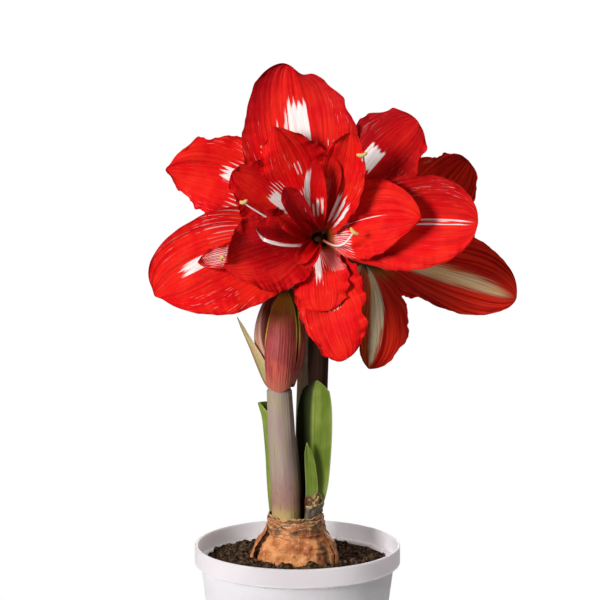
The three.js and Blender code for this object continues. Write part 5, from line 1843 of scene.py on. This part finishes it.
class AddStage(bpy.types.Operator):
    """Adds the floor, the lights, the surroundings and the camera"""

    bl_idname = "amaryllis.add_stage"
    bl_label = "Add stage"

    def execute(self, context):
        settings = context.scene.amaryllis_stage
        context.scene.view_settings.view_transform = "Standard"
        self.add_camera(context.scene, settings)
        self.add_surroundings(context.scene, settings)
        self.add_lights(context.scene, settings)
        middle = (FLOOR_RADIUS + FLOOR_THICKNESS, -FLOOR_THICKNESS / 2)
        under = [(2, -FLOOR_THICKNESS), (FLOOR_RADIUS, -FLOOR_THICKNESS)]
        disc = lathe([*under, middle, (FLOOR_RADIUS, 0), (2, 0)], 128)
        disc.points = disc.points + FLOOR_CENTRE
        floor = link("floor", make_mesh("floor", [disc], crease=80))
        floor.data.materials.append(floor_finish(settings))
        floor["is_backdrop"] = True
        return {"FINISHED"}

    def add_camera(self, scene, settings):
        lens = bpy.data.cameras.new("camera")
        lens.lens = settings.lens
        lens.sensor_width = 36
        camera = bpy.data.objects.new("camera", lens)
        camera.location = (CAMERA_ASIDE, -settings.camera_distance, settings.camera_height)
        camera.rotation_euler = (math.radians(90) - settings.camera_pitch, 0, 0)
        scene.collection.objects.link(camera)
        scene.camera = camera

    def add_surroundings(self, scene, settings):
        """White where it is seen, and a weak even light elsewhere."""
        world = bpy.data.worlds.new("surroundings")
        world.use_nodes = True
        graph = Graph(world.node_tree)
        toward = graph.node("ShaderNodeTexCoord", output="Generated")
        behind = graph.node("ShaderNodeSeparateXYZ", inputs=(toward,), output="Y")
        levels = (behind, GLOW_STARTS, GLOW_IS_FULL, settings.fill, settings.glow)
        strength = graph.node("ShaderNodeMapRange", {"interpolation_type": "SMOOTHSTEP"}, levels)
        light = graph.node("ShaderNodeBackground", inputs={"Color": WHITE, "Strength": strength})
        seen = graph.node("ShaderNodeBackground", inputs={"Color": WHITE})
        is_seen = graph.node("ShaderNodeLightPath", output="Is Camera Ray")
        either = graph.node("ShaderNodeMixShader", inputs=(is_seen, light, seen))
        graph.end("ShaderNodeOutputWorld", either)
        scene.world = world

    def add_lights(self, scene, settings):
        for name, place, size, share, target in LAMPS:
            lamp = bpy.data.lights.new(name, "AREA")
            lamp.shape = "DISK"
            lamp.size = size
            lamp.energy = settings.key * share
            holder = bpy.data.objects.new(name, lamp)
            holder.location = place
            aim = Vector((0, 0, target)) - Vector(place)
            holder.rotation_euler = aim.to_track_quat("-Z", "Y").to_euler()
            scene.collection.objects.link(holder)


class AddPot(bpy.types.Operator):
    """Adds the plastic pot"""

    bl_idname = "amaryllis.add_pot"
    bl_label = "Add pot"

    def execute(self, context):
        settings = context.scene.amaryllis_pot
        piece = link("pot_shell", make_mesh("pot_shell", [pot_skin()], crease=35))
        piece.data.materials.append(pot_finish(settings))
        drill(piece, DRAIN_RADIUS, DRAIN_CIRCLE, DRAIN_HOLES)
        dress(piece, "pot")
        return {"FINISHED"}


class AddPeat(bpy.types.Operator):
    """Adds the peat with its crumbs and fibres"""

    bl_idname = "amaryllis.add_peat"
    bl_label = "Add peat"

    def execute(self, context):
        settings = context.scene.amaryllis_pot
        material = peat_finish(settings)
        piece = link("peat_filling", make_mesh("peat_filling", [soil_skin()]))
        piece.data.materials.append(material)
        strew_crumbs(piece, settings, material)
        dress(piece, "potting_soil")
        return {"FINISHED"}


class AddBulb(bpy.types.Operator):
    """Adds the bulb with its papery coats and its roots"""

    bl_idname = "amaryllis.add_bulb"
    bl_label = "Add bulb"

    def execute(self, context):
        finish = tunic_finish(context.scene.amaryllis_plant)
        add_piece("bulb_tunic", bulb_skins(), finish, "bulb")
        return {"FINISHED"}


class AddStalks(bpy.types.Operator):
    """Adds the two flower stalks and the flowers' stems"""

    bl_idname = "amaryllis.add_stalks"
    bl_label = "Add stalks"

    def execute(self, context):
        settings = context.scene.amaryllis_plant
        front = stalk_finish("stalk_mauve", settings.stalk_blush, settings.stalk_green, 0)
        rear = stalk_finish("stalk_flushed", settings.rear_blush, settings.rear_green, 0.96)
        add_piece("stalk_bud", [stalk_skin(STALK_BUD, 101)], front, "scape_bud", crease=40)
        add_piece("stalk_bloom", [stalk_skin(STALK_BLOOM, 105)], rear, "scape_bloom", crease=40)
        stem = stalk_finish("stem_reddish", settings.stem_blush, settings.stem_green, 0.6)
        add_piece("stem_front", [pedicel_skin((7.4, 8.6, 312.3), FRONT)], stem, "pedicel_front")
        add_piece("stem_back", [pedicel_skin((16.6, 14.4, 312.3), BACK)], stem, "pedicel_back")
        return {"FINISHED"}


class AddLeaves(bpy.types.Operator):
    """Adds the three leaves and the cut leaf base"""

    bl_idname = "amaryllis.add_leaves"
    bl_label = "Add leaves"

    def execute(self, context):
        settings = context.scene.amaryllis_plant
        finish = leaf_finish(settings)
        for name, blade in LEAVES.items():
            add_piece(name.replace("leaf", "blade"), [blade.skin()], finish, name, crease=70)
        add_piece("cut_leaf_base", stub_skins(), stub_finish(), "leaf_stub_right", crease=70)
        return {"FINISHED"}


class AddBud(bpy.types.Operator):
    """Adds the closed bud, its sheath and the withered bracts"""

    bl_idname = "amaryllis.add_bud"
    bl_label = "Add bud"

    def execute(self, context):
        settings = context.scene.amaryllis_plant
        sheath = sheath_finish(settings)
        for name, valve in SHEATH.items():
            add_piece(name.replace("spathe", "valve"), [valve.skin()], sheath, name, crease=70)
        add_piece("bud_furled", bud_flower_skins(), furled_finish(), "bud_flowers", crease=70)
        dry = bract_finish(settings)
        for name, blade in BRACTS.items():
            add_piece(name + "_blade", [blade.skin()], dry, name, crease=70)
        return {"FINISHED"}


class AddFlowers(bpy.types.Operator):
    """Adds the petals and stamens of both flowers"""

    bl_idname = "amaryllis.add_flowers"
    bl_label = "Add flowers"

    def execute(self, context):
        settings = context.scene.amaryllis_flower
        finish = petal_finish(settings)
        threads = stamen_finish(settings)
        for number, flower in enumerate((FRONT, BACK)):
            node = f"bloom_{flower.name}"
            add_piece(f"tube_{flower.name}", [flower_core(flower)], finish, node)
            stamens = []
            for k, stamen in enumerate(STAMENS[: 5 - number]):
                stamens += stamen_skins(flower, *stamen, 300 + k)
            add_piece(f"stamens_{flower.name}", stamens, threads, node)
            for i, petal in enumerate(flower.petals):
                seed = 1000 * (number + 1) + 20 * i
                skin = petal.skin(flower, seed, settings.thickness / MM, settings.frill / MM)
                add_piece(f"petal_{flower.name}_{petal.name}", [skin], finish, node, crease=75)
        return {"FINISHED"}


class AmaryllisPanel(bpy.types.Panel):
    """Lists the settings and the operators"""

    bl_idname = "VIEW3D_PT_amaryllis"
    bl_label = "Amaryllis"
    bl_space_type = "VIEW_3D"
    bl_region_type = "UI"
    bl_category = "Amaryllis"

    def draw(self, context):
        layout = self.layout
        for name, group in SETTINGS.items():
            box = layout.box()
            values = getattr(context.scene, name)
            for key in group.__annotations__:
                box.prop(values, key)
        for operator in OPERATORS:
            layout.operator(operator.bl_idname)


SETTINGS = {
    "amaryllis_pot": AmaryllisPotSettings,
    "amaryllis_plant": AmaryllisPlantSettings,
    "amaryllis_flower": AmaryllisFlowerSettings,
    "amaryllis_stage": AmaryllisStageSettings,
}
OPERATORS = (AddStage, AddPot, AddPeat, AddBulb, AddStalks, AddLeaves, AddBud, AddFlowers)


def register():
    for name, group in SETTINGS.items():
        bpy.utils.register_class(group)
        setattr(bpy.types.Scene, name, PointerProperty(type=group))
    for kind in (*OPERATORS, AmaryllisPanel):
        bpy.utils.register_class(kind)


def unregister():
    for kind in (AmaryllisPanel, *reversed(OPERATORS)):
        bpy.utils.unregister_class(kind)
    for name, group in SETTINGS.items():
        delattr(bpy.types.Scene, name)
        bpy.utils.unregister_class(group)


def main():
    register()
    for operator in OPERATORS:
        group, name = operator.bl_idname.split(".")
        getattr(getattr(bpy.ops, group), name)()
    boxes = {"cad": CAD_BOX, "visual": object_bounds()}
    plain = {key: [list(corner) for corner in corners] for key, corners in boxes.items()}


if __name__ == "__main__":
    main()
